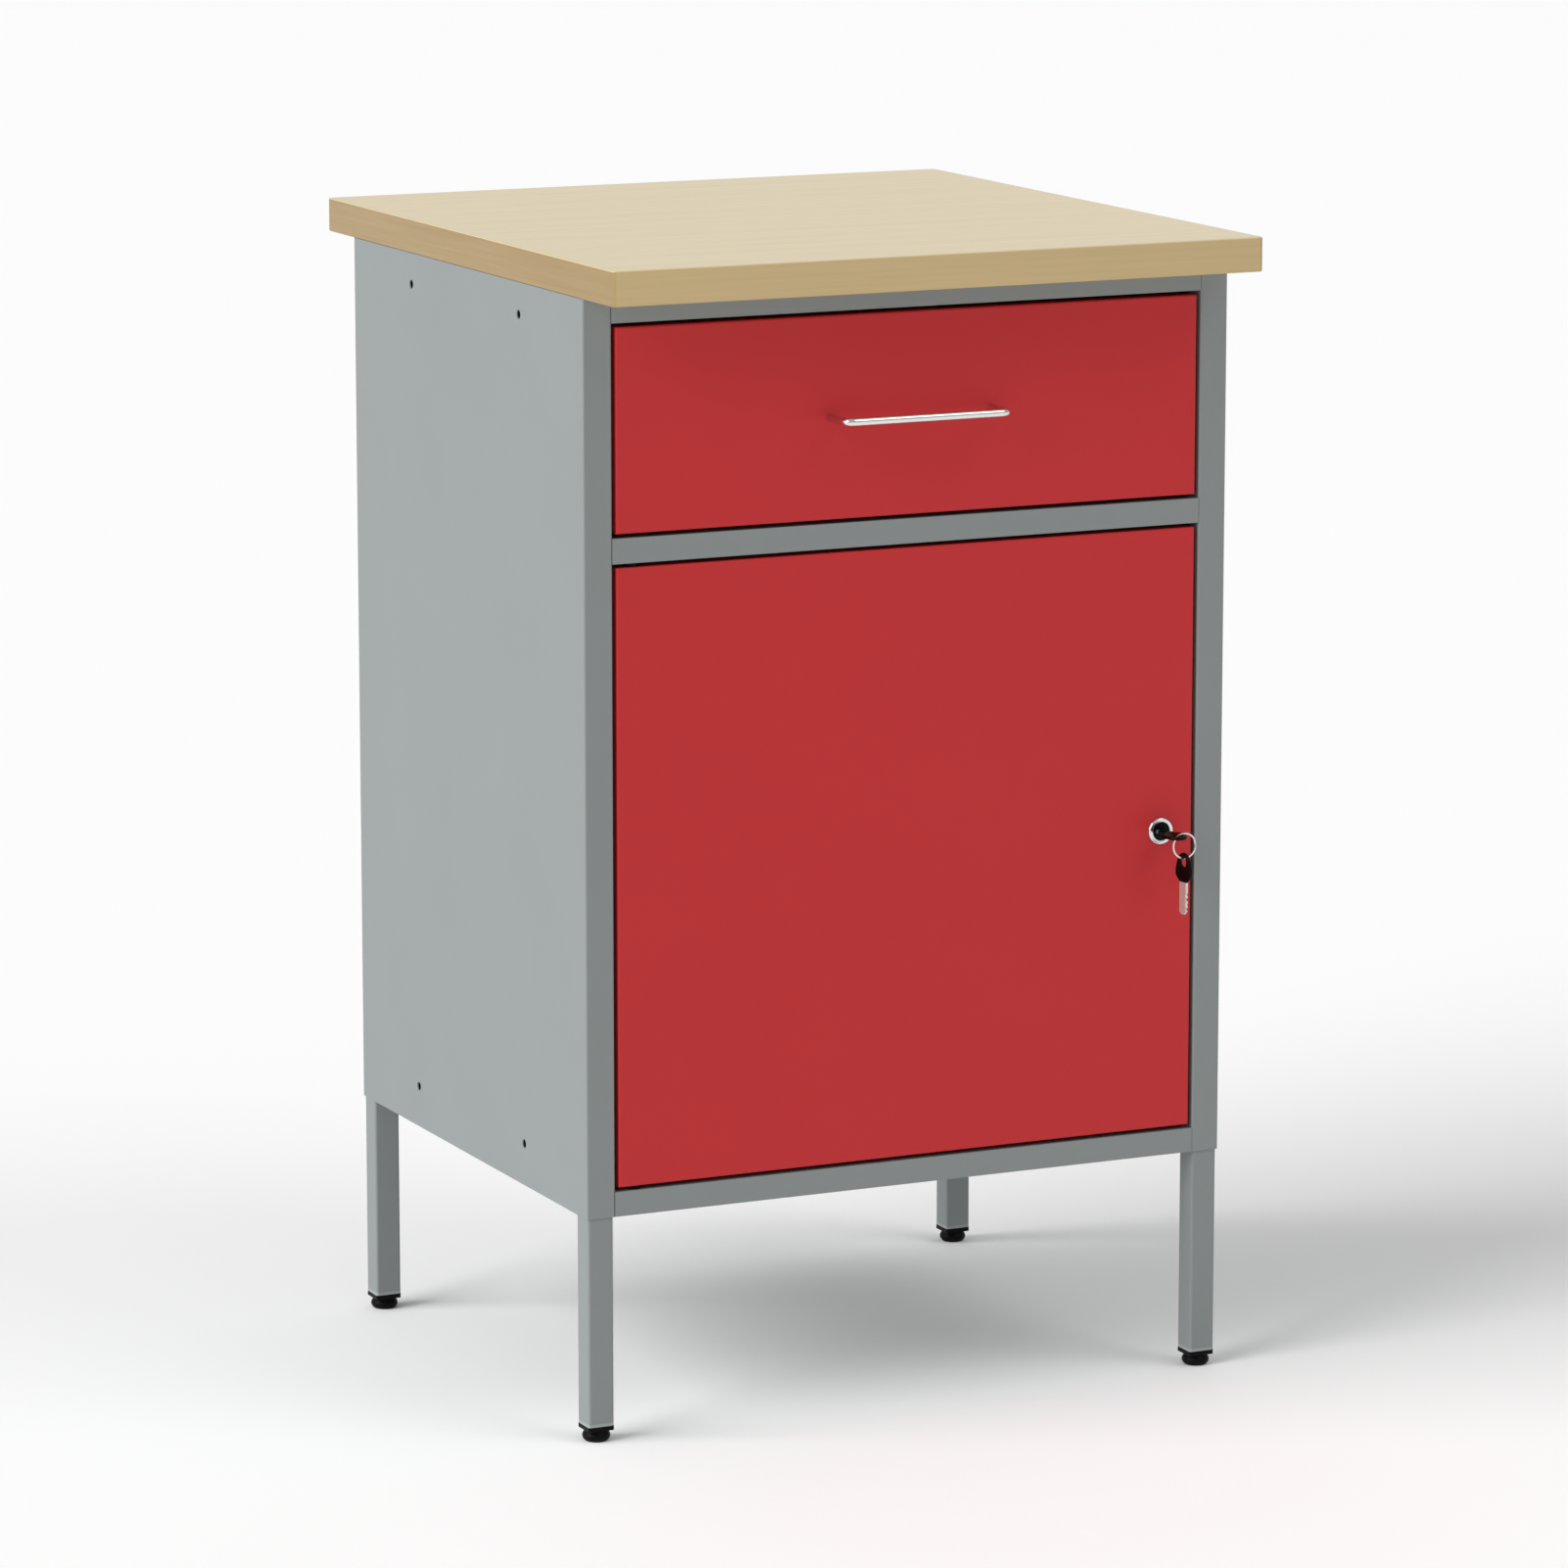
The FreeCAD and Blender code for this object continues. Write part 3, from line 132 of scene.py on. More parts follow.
def circle(radius, count):
    """Points (r cos a, r sin a) at even angles."""
    angle = np.linspace(0, 2 * math.pi, count, endpoint=False)
    return np.stack([radius * np.cos(angle), radius * np.sin(angle)], axis=1)


def rectangle(half_x, half_y, reach, steps):
    """A rectangle round the origin, its four corners rounded."""
    points = [(-half_x, -half_y), (half_x, -half_y), (half_x, half_y), (-half_x, half_y)]
    return soften(points, reach, steps, closed=True)


def aimed(points, origin, direction):
    """Turns points drawn along +Z to a direction and moves them to their origin."""
    turn = np.array(Vector((0, 0, 1)).rotation_difference(Vector(direction)).to_matrix())
    return points @ turn.T + np.asarray(origin, float)


def skin(rows, columns, rows_closed):
    """The quads between neighbouring points of a grid whose rows are rings."""
    r, c = np.meshgrid(np.arange(rows if rows_closed else rows - 1), np.arange(columns), indexing="ij")
    r_next = (r + 1) % rows
    c_next = (c + 1) % columns
    quads = [r * columns + c, r * columns + c_next, r_next * columns + c_next, r_next * columns + c]
    return np.stack(quads, axis=-1).reshape(-1, 4)


def make_piece(name, grids, body, finish, replaces=(), rows_closed=False, caps=False):
    """One piece from one or more grids of points in millimetres, its seams and poles closed."""
    material, slot = finish
    same_place = 0.001 * MM
    sharp_edge = math.radians(35)
    points = []
    faces = []
    start = 0
    for grid in grids:
        rows, columns = grid.shape[:2]
        faces += (skin(rows, columns, rows_closed) + start).tolist()
        if caps:
            faces.append(list(range(start, start + columns)))
            faces.append(list(range(start + (rows - 1) * columns, start + rows * columns)))
        points.append(grid.reshape(-1, 3))
        start += rows * columns
    mesh = bpy.data.meshes.new(name)
    mesh.from_pydata((np.concatenate(points) * MM).tolist(), [], faces)
    shape = bmesh.new()
    shape.from_mesh(mesh)
    bmesh.ops.remove_doubles(shape, verts=shape.verts, dist=same_place)
    bmesh.ops.dissolve_degenerate(shape, edges=shape.edges, dist=same_place)
    bmesh.ops.recalc_face_normals(shape, faces=shape.faces)
    shape.to_mesh(mesh)
    shape.free()
    mesh.shade_smooth()
    mesh.set_sharp_from_angle(angle=sharp_edge)
    mesh.materials.append(material)
    piece = bpy.data.objects.new(name, mesh)
    bpy.context.scene.collection.objects.link(piece)
    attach(piece, body)
    if replaces:
        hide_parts(*replaces)
    return piece


# Materials

# The sockets of a colour mix go by number, because several of them share a name.
SHARE, FIRST_TONE, SECOND_TONE, MIXED_TONE = 0, 6, 7, 2
# Most of a pattern lies between these two values.
PATTERN_LOW, PATTERN_HIGH = 0.3, 0.7
# The stretch of a pattern that is not drawn out.
EVEN = (1, 1, 1)


def colour(code):
    """Linear colour of an sRGB hex value."""
    part = np.array([int(code[k:k + 2], 16) for k in (0, 2, 4)]) / 255
    linear = np.where(part <= 0.04045, part / 12.92, ((part + 0.055) / 1.055) ** 2.4)
    return (*linear.tolist(), 1.0)


def add_node(tree, kind, values=None, links=None, **settings):
    """Adds a node, sets its properties and sockets, and joins sockets of other nodes to it."""
    node = tree.nodes.new(f"ShaderNode{kind}")
    for key, value in settings.items():
        setattr(node, key, value)
    for key, value in (values or {}).items():
        node.inputs[key].default_value = value
    for key, source in (links or {}).items():
        tree.links.new(source, node.inputs[key])
    return node


def new_material(name, sockets):
    """A material with its node tree and its shader."""
    material = bpy.data.materials.new(name)
    material.use_nodes = True
    tree = material.node_tree
    tree.nodes.clear()
    shader = add_node(tree, "BsdfPrincipled", sockets)
    add_node(tree, "OutputMaterial", links={"Surface": shader.outputs[0]})
    return material, tree, shader


def patterned(name, tones, slow, roughness, fine, depth, sockets=None):
    """Two tones and a gloss that follow a slow pattern, and a relief that follows a fine one.

    A pattern is soft patches: their size in millimetres, how far they are drawn out along X, Y and Z, and
    how much detail they have. Roughness is a range, and depth is the height of the relief in millimetres.
    """
    material, tree, shader = new_material(name, sockets)
    place = add_node(tree, "TexCoord").outputs["Object"]
    patterns = []
    for size, stretch, detail in (slow, fine):
        scaled = add_node(tree, "Mapping", {"Scale": tuple(1 / part for part in stretch)}, {"Vector": place})
        settings = {"Scale": 1 / (size * MM), "Detail": detail, "Roughness": 0.55}
        patterns.append(add_node(tree, "TexNoise", settings, {"Vector": scaled.outputs[0]}).outputs[0])
    slow_pattern, fine_pattern = patterns
    smooth, rough = roughness
    ends = {"From Min": PATTERN_LOW, "From Max": PATTERN_HIGH, "To Min": smooth, "To Max": rough}
    gloss = add_node(tree, "MapRange", ends, {"Value": slow_pattern})
    pair = {FIRST_TONE: colour(tones[0]), SECOND_TONE: colour(tones[1])}
    tone = add_node(tree, "Mix", pair, {SHARE: slow_pattern}, data_type="RGBA")
    relief = add_node(tree, "Bump", {"Strength": 0.6, "Distance": depth * MM}, {"Height": fine_pattern})
    tree.links.new(tone.outputs[MIXED_TONE], shader.inputs["Base Color"])
    tree.links.new(gloss.outputs[0], shader.inputs["Roughness"])
    tree.links.new(relief.outputs[0], shader.inputs["Normal"])
    return SimpleNamespace(material=material, tree=tree, shader=shader, place=place,
                           slow=slow_pattern, fine=fine_pattern)


def lay_over(surface, value, start, end, tone, most=1):
    """Lays a tone over a surface's colour, from none where the value is at start to the most at end.

    The tone is an sRGB hex value or another node's output.
    """
    base = surface.shader.inputs["Base Color"]
    ends = {"From Min": start, "From Max": end, "To Min": 0, "To Max": most}
    share = add_node(surface.tree, "MapRange", ends, {"Value": value}).outputs[0]
    links = {SHARE: share, FIRST_TONE: base.links[0].from_socket}
    mix = add_node(surface.tree, "Mix", links=links, data_type="RGBA")
    if isinstance(tone, str):
        mix.inputs[SECOND_TONE].default_value = colour(tone)
    else:
        surface.tree.links.new(tone, mix.inputs[SECOND_TONE])
    surface.tree.links.new(mix.outputs[MIXED_TONE], base)


def clouded(name, tones, cloud, roughness, grain, depth, stretch=EVEN, sockets=None):
    """Two tones in slow clouds and a fine grain; cloud and grain are their sizes in millimetres."""
    slow = (cloud, stretch, 3)
    fine = (grain, stretch, 2)
    return patterned(name, tones, slow, roughness, fine, depth, sockets).material


METAL = {"Metallic": 1}
LOW_SHEEN = {"Specular IOR Level": 0.25}
DULL = {"Specular IOR Level": 0.1}
GREY_TONES = ("828888", "808685")
GREY_GLOSS = (0.49, 0.53)
COAT_CLOUD = 90
COAT_PEEL = 2.2
COAT_RELIEF = 0.015


def powder_coat_grey():
    """Polyester powder coat, sprayed dry and baked: an even satin skin with a slight orange peel."""
    return clouded("powder_coat_grey", GREY_TONES, COAT_CLOUD, GREY_GLOSS, COAT_PEEL, COAT_RELIEF)


def powder_coat_tube():
    """The same grey on the legs, with a paler bead where the coat gathers along their cut ends."""
    cloud = (COAT_CLOUD, EVEN, 3)
    peel = (COAT_PEEL, EVEN, 2)
    coat = patterned("powder_coat_tube", GREY_TONES, cloud, GREY_GLOSS, peel, COAT_RELIEF)
    up = add_node(coat.tree, "SeparateXYZ", links={"Vector": coat.place}).outputs["Z"]
    cut_end = corners("leg_post_front_left")[0][2]
    bead_end = 2.6
    bead_full = 1.6
    lay_over(coat, up, (cut_end + bead_end) * MM, (cut_end + bead_full) * MM, "959B9A")
    return coat.material


def powder_coat_red():
    """The same powder coat in red: even, satin, with a slight orange peel."""
    tones = ("BF2B2E", "BC2A2D")
    gloss = (0.47, 0.51)
    return clouded("powder_coat_red", tones, COAT_CLOUD, gloss, COAT_PEEL, COAT_RELIEF, sockets=LOW_SHEEN)


def beech_laminate():
    """Melamine faced board with a pale beech decor: faint long streaks and short darker pores, satin."""
    streaks = (7, (40, 1, 1), 4)
    pores = (1.6, (12, 1, 1), 2)
    decor = patterned("beech_laminate", ("EFE1C2", "DECEAB"), streaks, (0.36, 0.46), pores, 0.025)
    lay_over(decor, decor.fine, 0.6, 0.78, "BBA77F", most=0.35)
    return decor.material


def beech_edge_band():
    """Beech coloured ABS edge band, extruded and glued on: a little deeper in colour, fine level streaks.

    The sides are painted darker than the front and the back. This painted shade holds them to the front's
    tone under the light from the left, and the tone changes evenly round the corners. The rounded upper edge
    is painted paler, as a painted highlight along the arris.
    """
    streaks = (2.4, (45, 45, 1), 4)
    band = patterned("beech_edge_band", ("C8AF80", "BAA171"), streaks, (0.34, 0.44), streaks, 0.015)
    axes = add_node(band.tree, "SeparateXYZ", links={"Vector": band.place}).outputs
    from_middle = add_node(band.tree, "Math", links={0: axes["X"]}, operation="ABSOLUTE").outputs[0]
    # Darker tones for the painted shade on the side faces.
    pair = {FIRST_TONE: colour("988054"), SECOND_TONE: colour("8D7449")}
    side_painted_shade = add_node(band.tree, "Mix", pair, {SHARE: band.slow}, data_type="RGBA").outputs[MIXED_TONE]
    half_width, _, top = corners("worktop")[1]
    # Painted highlight on the rounded upper edge: a paler tone from this far below the top, full at the next.
    highlight_from = 0.9
    highlight_full = 0.4
    # Painted shade: the side faces, and the corners that round to them, get the darker tones.
    lay_over(band, from_middle, (half_width - CORNER_ROUND) * MM, half_width * MM, side_painted_shade)
    # Painted highlight along the rounded upper edge.
    lay_over(band, axes["Z"], (top - highlight_from) * MM, (top - highlight_full) * MM, "D3C39C")
    return band.material


def buffed_chrome():
    """Chromium plated over brushed and buffed steel: very bright, with faint waves and a slight haze."""
    return clouded("buffed_chrome", ("E8E8E6", "DFDFDC"), cloud=25, grain=6, depth=0.004,
                   roughness=(0.16, 0.22), sockets=METAL)


def satin_chrome():
    """Chromium plated die casting of the lock: bright, a little softer than the handle."""
    return clouded("satin_chrome", ("E4E5E6", "D6D8DA"), cloud=8, grain=1.2, depth=0.004,
                   roughness=(0.12, 0.2), sockets=METAL)


def zinc_plated_sheet():
    """Rolled strip, zinc plated and passivated: bluish, with faint lines along the rolling direction."""
    return clouded("zinc_plated_sheet", ("C3C8CD", "A9AFB5"), cloud=14, grain=1.1, depth=0.01,
                   roughness=(0.26, 0.4), stretch=(1, 30, 1), sockets=METAL)


def zinc_plated_hardware():
    """Cold headed screws, pins, nut and cam, zinc plated: bright with small cloudy patches."""
    return clouded("zinc_plated_hardware", ("CDD0D0", "AEB1AF"), cloud=3, grain=0.6, depth=0.006,
                   roughness=(0.24, 0.38), sockets=METAL)


def bearing_steel():
    """Ground and lapped balls with a film of grease: a mirror with a slight haze."""
    return clouded("bearing_steel", ("D5D6D8", "C6C7CA"), cloud=2, grain=0.5, depth=0.002,
                   roughness=(0.06, 0.14), sockets=METAL)


def nickel_plated_brass():
    """Key blades, milled, tumbled and nickel plated: pale with a wide soft sheen and small cloudy patches."""
    return clouded("nickel_plated_brass", ("E6E4DF", "D2D0C9"), cloud=4, grain=0.5, depth=0.006,
                   roughness=(0.48, 0.6), sockets=METAL)


def spring_steel():
    """Key ring of drawn spring steel wire, nickel plated: bright and smooth."""
    return clouded("spring_steel", ("DEDEDC", "CFCFCC"), cloud=5, grain=0.8, depth=0.003,
                   roughness=(0.1, 0.18), sockets=METAL)


def moulded_black_plastic():
    """Injection moulded polyamide with an eroded mould texture: deep black, dull, finely pitted."""
    return clouded("moulded_black_plastic", ("070708", "040405"), cloud=6, grain=0.8, depth=0.03,
                   roughness=(0.42, 0.55), sockets=DULL)


def moulded_key_plastic():
    """Injection moulded ABS key heads: black, with a soft shine and a slight wave."""
    return clouded("moulded_key_plastic", ("060607", "030304"), cloud=6, grain=1.5, depth=0.01,
                   roughness=(0.28, 0.38), sockets=DULL)


def black_finished_zinc():
    """Zinc die casting of the lock's plug, black finished: dark, smooth, a little shiny."""
    return clouded("black_finished_zinc", ("060607", "030304"), cloud=3, grain=0.6, depth=0.006,
                   roughness=(0.28, 0.4), sockets=DULL)


def buffer_rubber():
    """Moulded rubber buttons: soft black, dull."""
    return clouded("buffer_rubber", ("1C1C1D", "141415"), cloud=4, grain=0.5, depth=0.02,
                   roughness=(0.7, 0.85))


# Each finish is a material and the name of the surface that it belongs to.
GREY = (powder_coat_grey(), "grey_paint")
TUBE_GREY = (powder_coat_tube(), "grey_paint")
RED = (powder_coat_red(), "red_paint")
LAMINATE = (beech_laminate(), "worktop_wood")
BAND = (beech_edge_band(), "worktop_wood")
CHROME = (buffed_chrome(), "handle_chrome")
LOCK_CHROME = (satin_chrome(), "lock_chrome")
SHEET_ZINC = (zinc_plated_sheet(), "zinc_steel")
ZINC = (zinc_plated_hardware(), "hardware_steel")
BALL = (bearing_steel(), "ball_steel")
KEY_METAL = (nickel_plated_brass(), "key_steel")
RING_METAL = (spring_steel(), "key_steel")
BLACK = (moulded_black_plastic(), "black_plastic")
KEY_BLACK = (moulded_key_plastic(), "key_plastic")
PLUG_BLACK = (black_finished_zinc(), "black_plastic")
RUBBER = (buffer_rubber(), "buffer_rubber")


def coat_carried_over_nodes():
    """Gives each piece that keeps its own shape the finish of its kind."""
    runners = [f"runner_{part}_{side}" for part in ("outer", "middle", "inner") for side in SIDES]
    cages = [f"ball_cage_{part}_{side}" for part in ("outer", "inner") for side in SIDES]
    finishes = [
        (RED, ["drawer_front", "door_panel", "door_stiffener"]),
        (TUBE_GREY, [f"leg_post_{place}" for place in LEG_PLACES]),
        (SHEET_ZINC, runners),
        (ZINC, cages + ["lock_nut"]),
        (BLACK, ["leg_plugs"]),
        (PLUG_BLACK, ["lock_plug"]),
        (KEY_METAL, ["key_blade", "spare_key_blade"]),
    ]
    material_of = {name: finish[0] for finish, names in finishes for name in names}
    for name, piece in nodes.items():
        if not piece.material_slots:
            piece.data.materials.append(None)
        for slot in piece.material_slots:
            slot.material = material_of.get(name, GREY[0])


# Worktop

def make_worktop():
    """A board with its laminate, and a band with rounded edges round it; a hair line parts them."""
    low, high = corners("worktop")
    half_width, half_depth = (high - low)[:2] / 2
    seam = 0.1
    board_round = 0.6
    edge_round = 1.4
    board = rectangle(half_width - EDGE_BAND, half_depth - EDGE_BAND, board_round, 3)
    rings = [(seam * 2, low[2]), (seam, low[2] + seam), (seam, high[2] - seam), (seam * 2, high[2])]
    make_piece("worktop_board", [layered(board, rings)], "carcass", LAMINATE, ["worktop"], caps=True)
    band = rectangle(half_width, half_depth, CORNER_ROUND, 8)
    section = [(EDGE_BAND, low[2]), (0, low[2]), (0, high[2]), (EDGE_BAND, high[2])]
    strip = layered(band, soften(section, edge_round, 6))
    make_piece("worktop_edge_band", [strip], "carcass", BAND, ["worktop"], rows_closed=True)


# Feet

def make_foot(place):
    """A barrelled knob on a short neck, turned from the sole up, with its stud."""
    node = f"levelling_foot_{place}"
    x, y, _ = middle(node)
    top = corners(node)[1][2]
    sole = [(0, 0.3), (6.4, 0.3), (6.8, 0), (8.2, 0)]
    knob = [(10.0, 2.4), (10.25, 4.2), (9.6, 6.0), (8.8, 6.9)]
    neck = [(8.7, 8.3), (4, 8.3)]
    stud = [(4, top - 1), (3.2, top), (0, top)]
    foot = turned(soften(sole + knob + neck + stud, 1.0, 7), 72)
    make_piece(f"foot_knob_{place}", [foot + (x, y, 0)], f"foot_{place}", BLACK, [node])


# Drawer handle

def make_handle():
    """A round rod carried along three runs with two bends, its ends against the drawer front."""
    low, high = corners("drawer_handle")
    rod = high[2] - low[2]
    end = high[0] - rod / 2
    bar = low[1] + rod / 2
    level = (low[2] + high[2]) / 2
    bend = 7
    runs = [(-end, high[1], level), (-end, bar, level), (end, bar, level), (end, high[1], level)]
    bent_rod = swept(soften(runs, bend, 14), circle(rod / 2, 40), (0, 0, 1))
    make_piece("drawer_handle_rod", [bent_rod], "drawer", CHROME, ["drawer_handle"], caps=True)


# Lock and keys

def make_lock_rim():
    """The turned housing of the lock: a rounded rim in front of the door and a plain barrel behind it."""
    x, _, z = middle("lock_housing")
    front = corners("lock_housing")[0][1]
    bore = 6.6
    barrel = 8
    rim = 10
    thick = 2
    length = 23
    profile = soften([
        (bore, 0.6), (7.0, 0), (9.3, 0), (rim, 0.8), (rim, thick), (barrel, thick), (barrel, length),
        (bore, length),
    ], 0.35, 4, closed=True)
    housing = aimed(turned(profile, 96), (x, front, z), (0, 1, 0))
    make_piece("lock_rim", [housing], "door", LOCK_CHROME, ["lock_housing"], rows_closed=True)


def make_cam():
    """A strip of sheet with round ends and a square hole, standing up from the tail of the plug.

    A point of the hole lies on the same ray from its centre as the point (x, y) of the outline, which is
    drawn in by the hole's half width over the greater of |x| and |y|.
    """
    low, high = corners("lock_cam")
    x, _, _ = middle("lock_cam")
    half = (high[0] - low[0]) / 2
    reach = high[2] - low[2] - half * 2
    thick = high[1] - low[1]
    edge = 0.25
    hole_half = 3.6
    angle = np.linspace(0, math.pi, 25)
    arc = np.stack([np.cos(angle), np.sin(angle)], axis=1) * half
    outline = np.concatenate([arc + (0, reach), [(-half, half)], -arc, [(half, half)]])
    hole = outline / np.abs(outline).max(axis=1, keepdims=True) * hole_half
    walls = layered(hole, [(0, 0), (0, thick)])
    rim = layered(outline, [(edge, thick), (0, thick - edge), (0, edge), (edge, 0)])
    cam = aimed(np.concatenate([walls, rim]), (x, high[1], low[2] + half), (0, -1, 0))
    make_piece("cam_tongue", [cam], "lock_plug", ZINC, ["lock_cam"], rows_closed=True)


def key_head_grid(neck):
    """A moulded key head, lying flat with its eye at the origin, and its neck as long as is asked.

    Rings run from the eye's wall over the top face, round the outer edge and back along the underside. A
    point of the eye's circle lies on the same ray from its centre as the point of the outline.
    """
    eye_radius = 3.85
    face = 1.25
    edge_wall = 0.7
    half = [(2.8, -KEY_EYE_WALL), (6.6, -2.8), (9.4, 6.2), (9.4, 10.8)]
    half += [(4.6, KEY_NECK), (4.4, KEY_NECK + neck)]
    outline = soften(half + [(-x, y) for x, y in reversed(half)], 3.4, 7, closed=True)
    eye = outline / np.linalg.norm(outline, axis=1, keepdims=True) * eye_radius
    over = [(2.4, face), (0.6, 1.3), (0, edge_wall)]
    edge = soften(over + [(inset, -level) for inset, level in reversed(over)], 0.6, 5)
    upper = layered(eye, [(0, 0), (0, edge_wall), (-0.15, 1.05), (-0.5, face)])
    lower = layered(eye, [(-0.5, -face), (-0.15, -1.05), (0, -edge_wall)])
    return np.concatenate([upper, layered(outline, edge), lower])


def make_keys():
    """The head of the key in the lock lies level, and its neck covers the blade up to the plug.

    The other hangs from the ring, turned nearly edge on, and its neck is short.
    """
    play = 0.5
    short_neck = 0.5
    x, _, z = middle("key_head")
    eye_y = corners("key_head")[0][1] + KEY_EYE_WALL
    plug_face = corners("lock_plug")[0][1]
    level = key_head_grid(plug_face - play - eye_y - KEY_NECK) + (x, eye_y, z)
    make_piece("key_head_moulding", [level], "lock_plug", KEY_BLACK, ["key_head"], rows_closed=True)
    across = np.array([math.cos(SPARE_KEY_TURN), math.sin(SPARE_KEY_TURN), 0])
    down = np.array([0, 0, -1.0])
    x, y, _ = middle("spare_key_head")
    eye_z = corners("spare_key_head")[1][2] - KEY_EYE_WALL
    hanging = key_head_grid(short_neck) @ np.stack([across, down, np.cross(across, down)]) + (x, y, eye_z)
    make_piece("spare_key_head_moulding", [hanging], "spare_key", KEY_BLACK, ["spare_key_head"],
               rows_closed=True)


def make_split_ring():
    """Two turns of flat wire lying side by side.

    At angle a the middle of the wire is r out and s along the axis, where s goes smoothly from one side to
    the other within one radian near the end of the first turn.
    """
    low, high = corners("key_ring")
    half_wide = 0.68
    half_thick = 0.34
    to_side = 0.38
    open_end = 1.15
    first_end = 0.4
    inset = 0.8
    radius = (high[2] - low[2]) / 2 - inset
    angle = np.linspace(0, 4 * math.pi - open_end, 230)
    step = np.clip(angle - 2 * math.pi + 1, 0, 1)
    along = -to_side + 2 * to_side * step ** 2 * (3 - 2 * step)
    spin = angle + first_end
    path = np.stack([radius * np.cos(spin), along, radius * np.sin(spin)], axis=1) + (low + high) / 2
    wire = swept(path, rectangle(half_wide, half_thick, 0.2, 3), (0, 1, 0))
    make_piece("key_ring_wire", [wire], "key_ring", RING_METAL, ["key_ring"], caps=True)


# Screws

def screw_grid(height, shank, length):
    """A pan head with a cross recess, and a threaded shank, as one surface of ring number and angle a.

    Over the head the height is h (1 - 0.4 q^2) less the recess, where q is the share of the radius and the
    recess is a cross that fades at its walls. Down the shank the radius is r + d |2 f - 1|, where f is the
    fraction of a thread pitch at z/p - a/2pi.
    """
    around = 48
    head = SCREW_HEAD / 2
    crown = 0.4
    recess = 0.55
    pitch = 0.7
    thread_depth = 0.3
    tip = 0.6
    blunt = 0.3
    angle = np.linspace(0, 2 * math.pi, around, endpoint=False)[None]
    share = np.linspace(0, 1, 15)[:, None]
    radius = share * head * np.ones_like(angle)
    u = np.abs(radius * np.cos(angle))
    v = np.abs(radius * np.sin(angle))
    slot_half = head * 0.14
    slot_reach = head * 0.6
    across = np.clip((slot_half - np.minimum(u, v)) / slot_half * 2, 0, 1)
    along = np.clip((slot_reach - np.maximum(u, v)) / slot_half, 0, 1)
    top = height * (1 - crown * share ** 2) - height * recess * across * along
    depth = np.linspace(0, length - tip, max(8, int(length * 6)))[:, None]
    fraction = np.mod(-depth / pitch - angle / (2 * math.pi), 1)
    thread = shank / 2 - thread_depth + thread_depth * np.abs(2 * fraction - 1)
    level = np.ones_like(angle)
    point = level * shank * blunt
    radii = np.concatenate([radius, level * head, level * shank / 2, thread, point, level * 0])
    heights = np.concatenate([top, level * 0, level * 0, -depth * level, level * -length, level * -length])
    return np.stack([radii * np.cos(angle), radii * np.sin(angle), heights], axis=-1)


def screw_centres(node, axis):
    """Lowest and highest place of a node's screws along an axis, half a head in from the node's ends."""
    low, high = corners(node)
    half_head = 4
    return low[axis] + half_head, high[axis] - half_head


def make_worktop_screws():
    """Four pan heads under the top flanges of the side panels, their shanks up in the board."""
    length = 15
    seat = corners("worktop_screws")[0][2] + PAN_HEIGHT
    screw = screw_grid(PAN_HEIGHT, SCREW_SHANK, length)
    screws = [aimed(screw, (x, y, seat), (0, 0, -1))
              for x in screw_centres("worktop_screws", 0) for y in screw_centres("worktop_screws", 1)]
    make_piece("worktop_screw_set", screws, "carcass", ZINC, ["worktop_screws"])


def make_runner_screws():
    """Low heads in the outer members, screwed to the brackets, and in the inner ones, to the drawer."""
    fixed_length = 8
    moving_length = 3
    fixed_seat = corners("runner_screws")[1][0] - fixed_length
    moving_seat = corners("drawer_runner_screws")[1][0] - LOW_HEIGHT
    fixed_screw = screw_grid(LOW_HEIGHT, SCREW_SHANK, fixed_length)
    moving_screw = screw_grid(LOW_HEIGHT, SCREW_SHANK, moving_length)
    level = middle("runner_screws")[2]
    fixed = []
    moving = []
    for side in SIDES.values():
        for y in screw_centres("runner_screws", 1):
            fixed.append(aimed(fixed_screw, (fixed_seat * side, y, level), (-side, 0, 0)))
            moving.append(aimed(moving_screw, (moving_seat * side, y, level), (side, 0, 0)))
    make_piece("runner_screw_set", fixed, "carcass", ZINC, ["runner_screws"])
    make_piece("drawer_screw_set", moving, "drawer", ZINC, ["drawer_runner_screws"])


def make_handle_screws():
    """Two pan heads behind the drawer front, their shanks forward in the ends of the handle."""
    length = 8
    shank = 3.2
    screw = screw_grid(PAN_HEIGHT, shank, length)
    seat = corners("handle_screws")[0][1] + length
    level = middle("handle_screws")[2]
    pair = [aimed(screw, (x, seat, level), (0, 1, 0)) for x in screw_centres("handle_screws", 0)]
    make_piece("handle_screw_pair", pair, "drawer", ZINC, ["handle_screws"])


def make_cam_screw():
    """One pan head that holds the cam on the plug's square."""
    length = 4
    x, _, z = middle("cam_screw")
    seat = corners("cam_screw")[0][1] + length
    screw = aimed(screw_grid(PAN_HEIGHT, SCREW_SHANK, length), (x, seat, z), (0, 1, 0))
    make_piece("cam_fixing_screw", [screw], "lock_plug", ZINC, ["cam_screw"])


# Door pivots and buffers

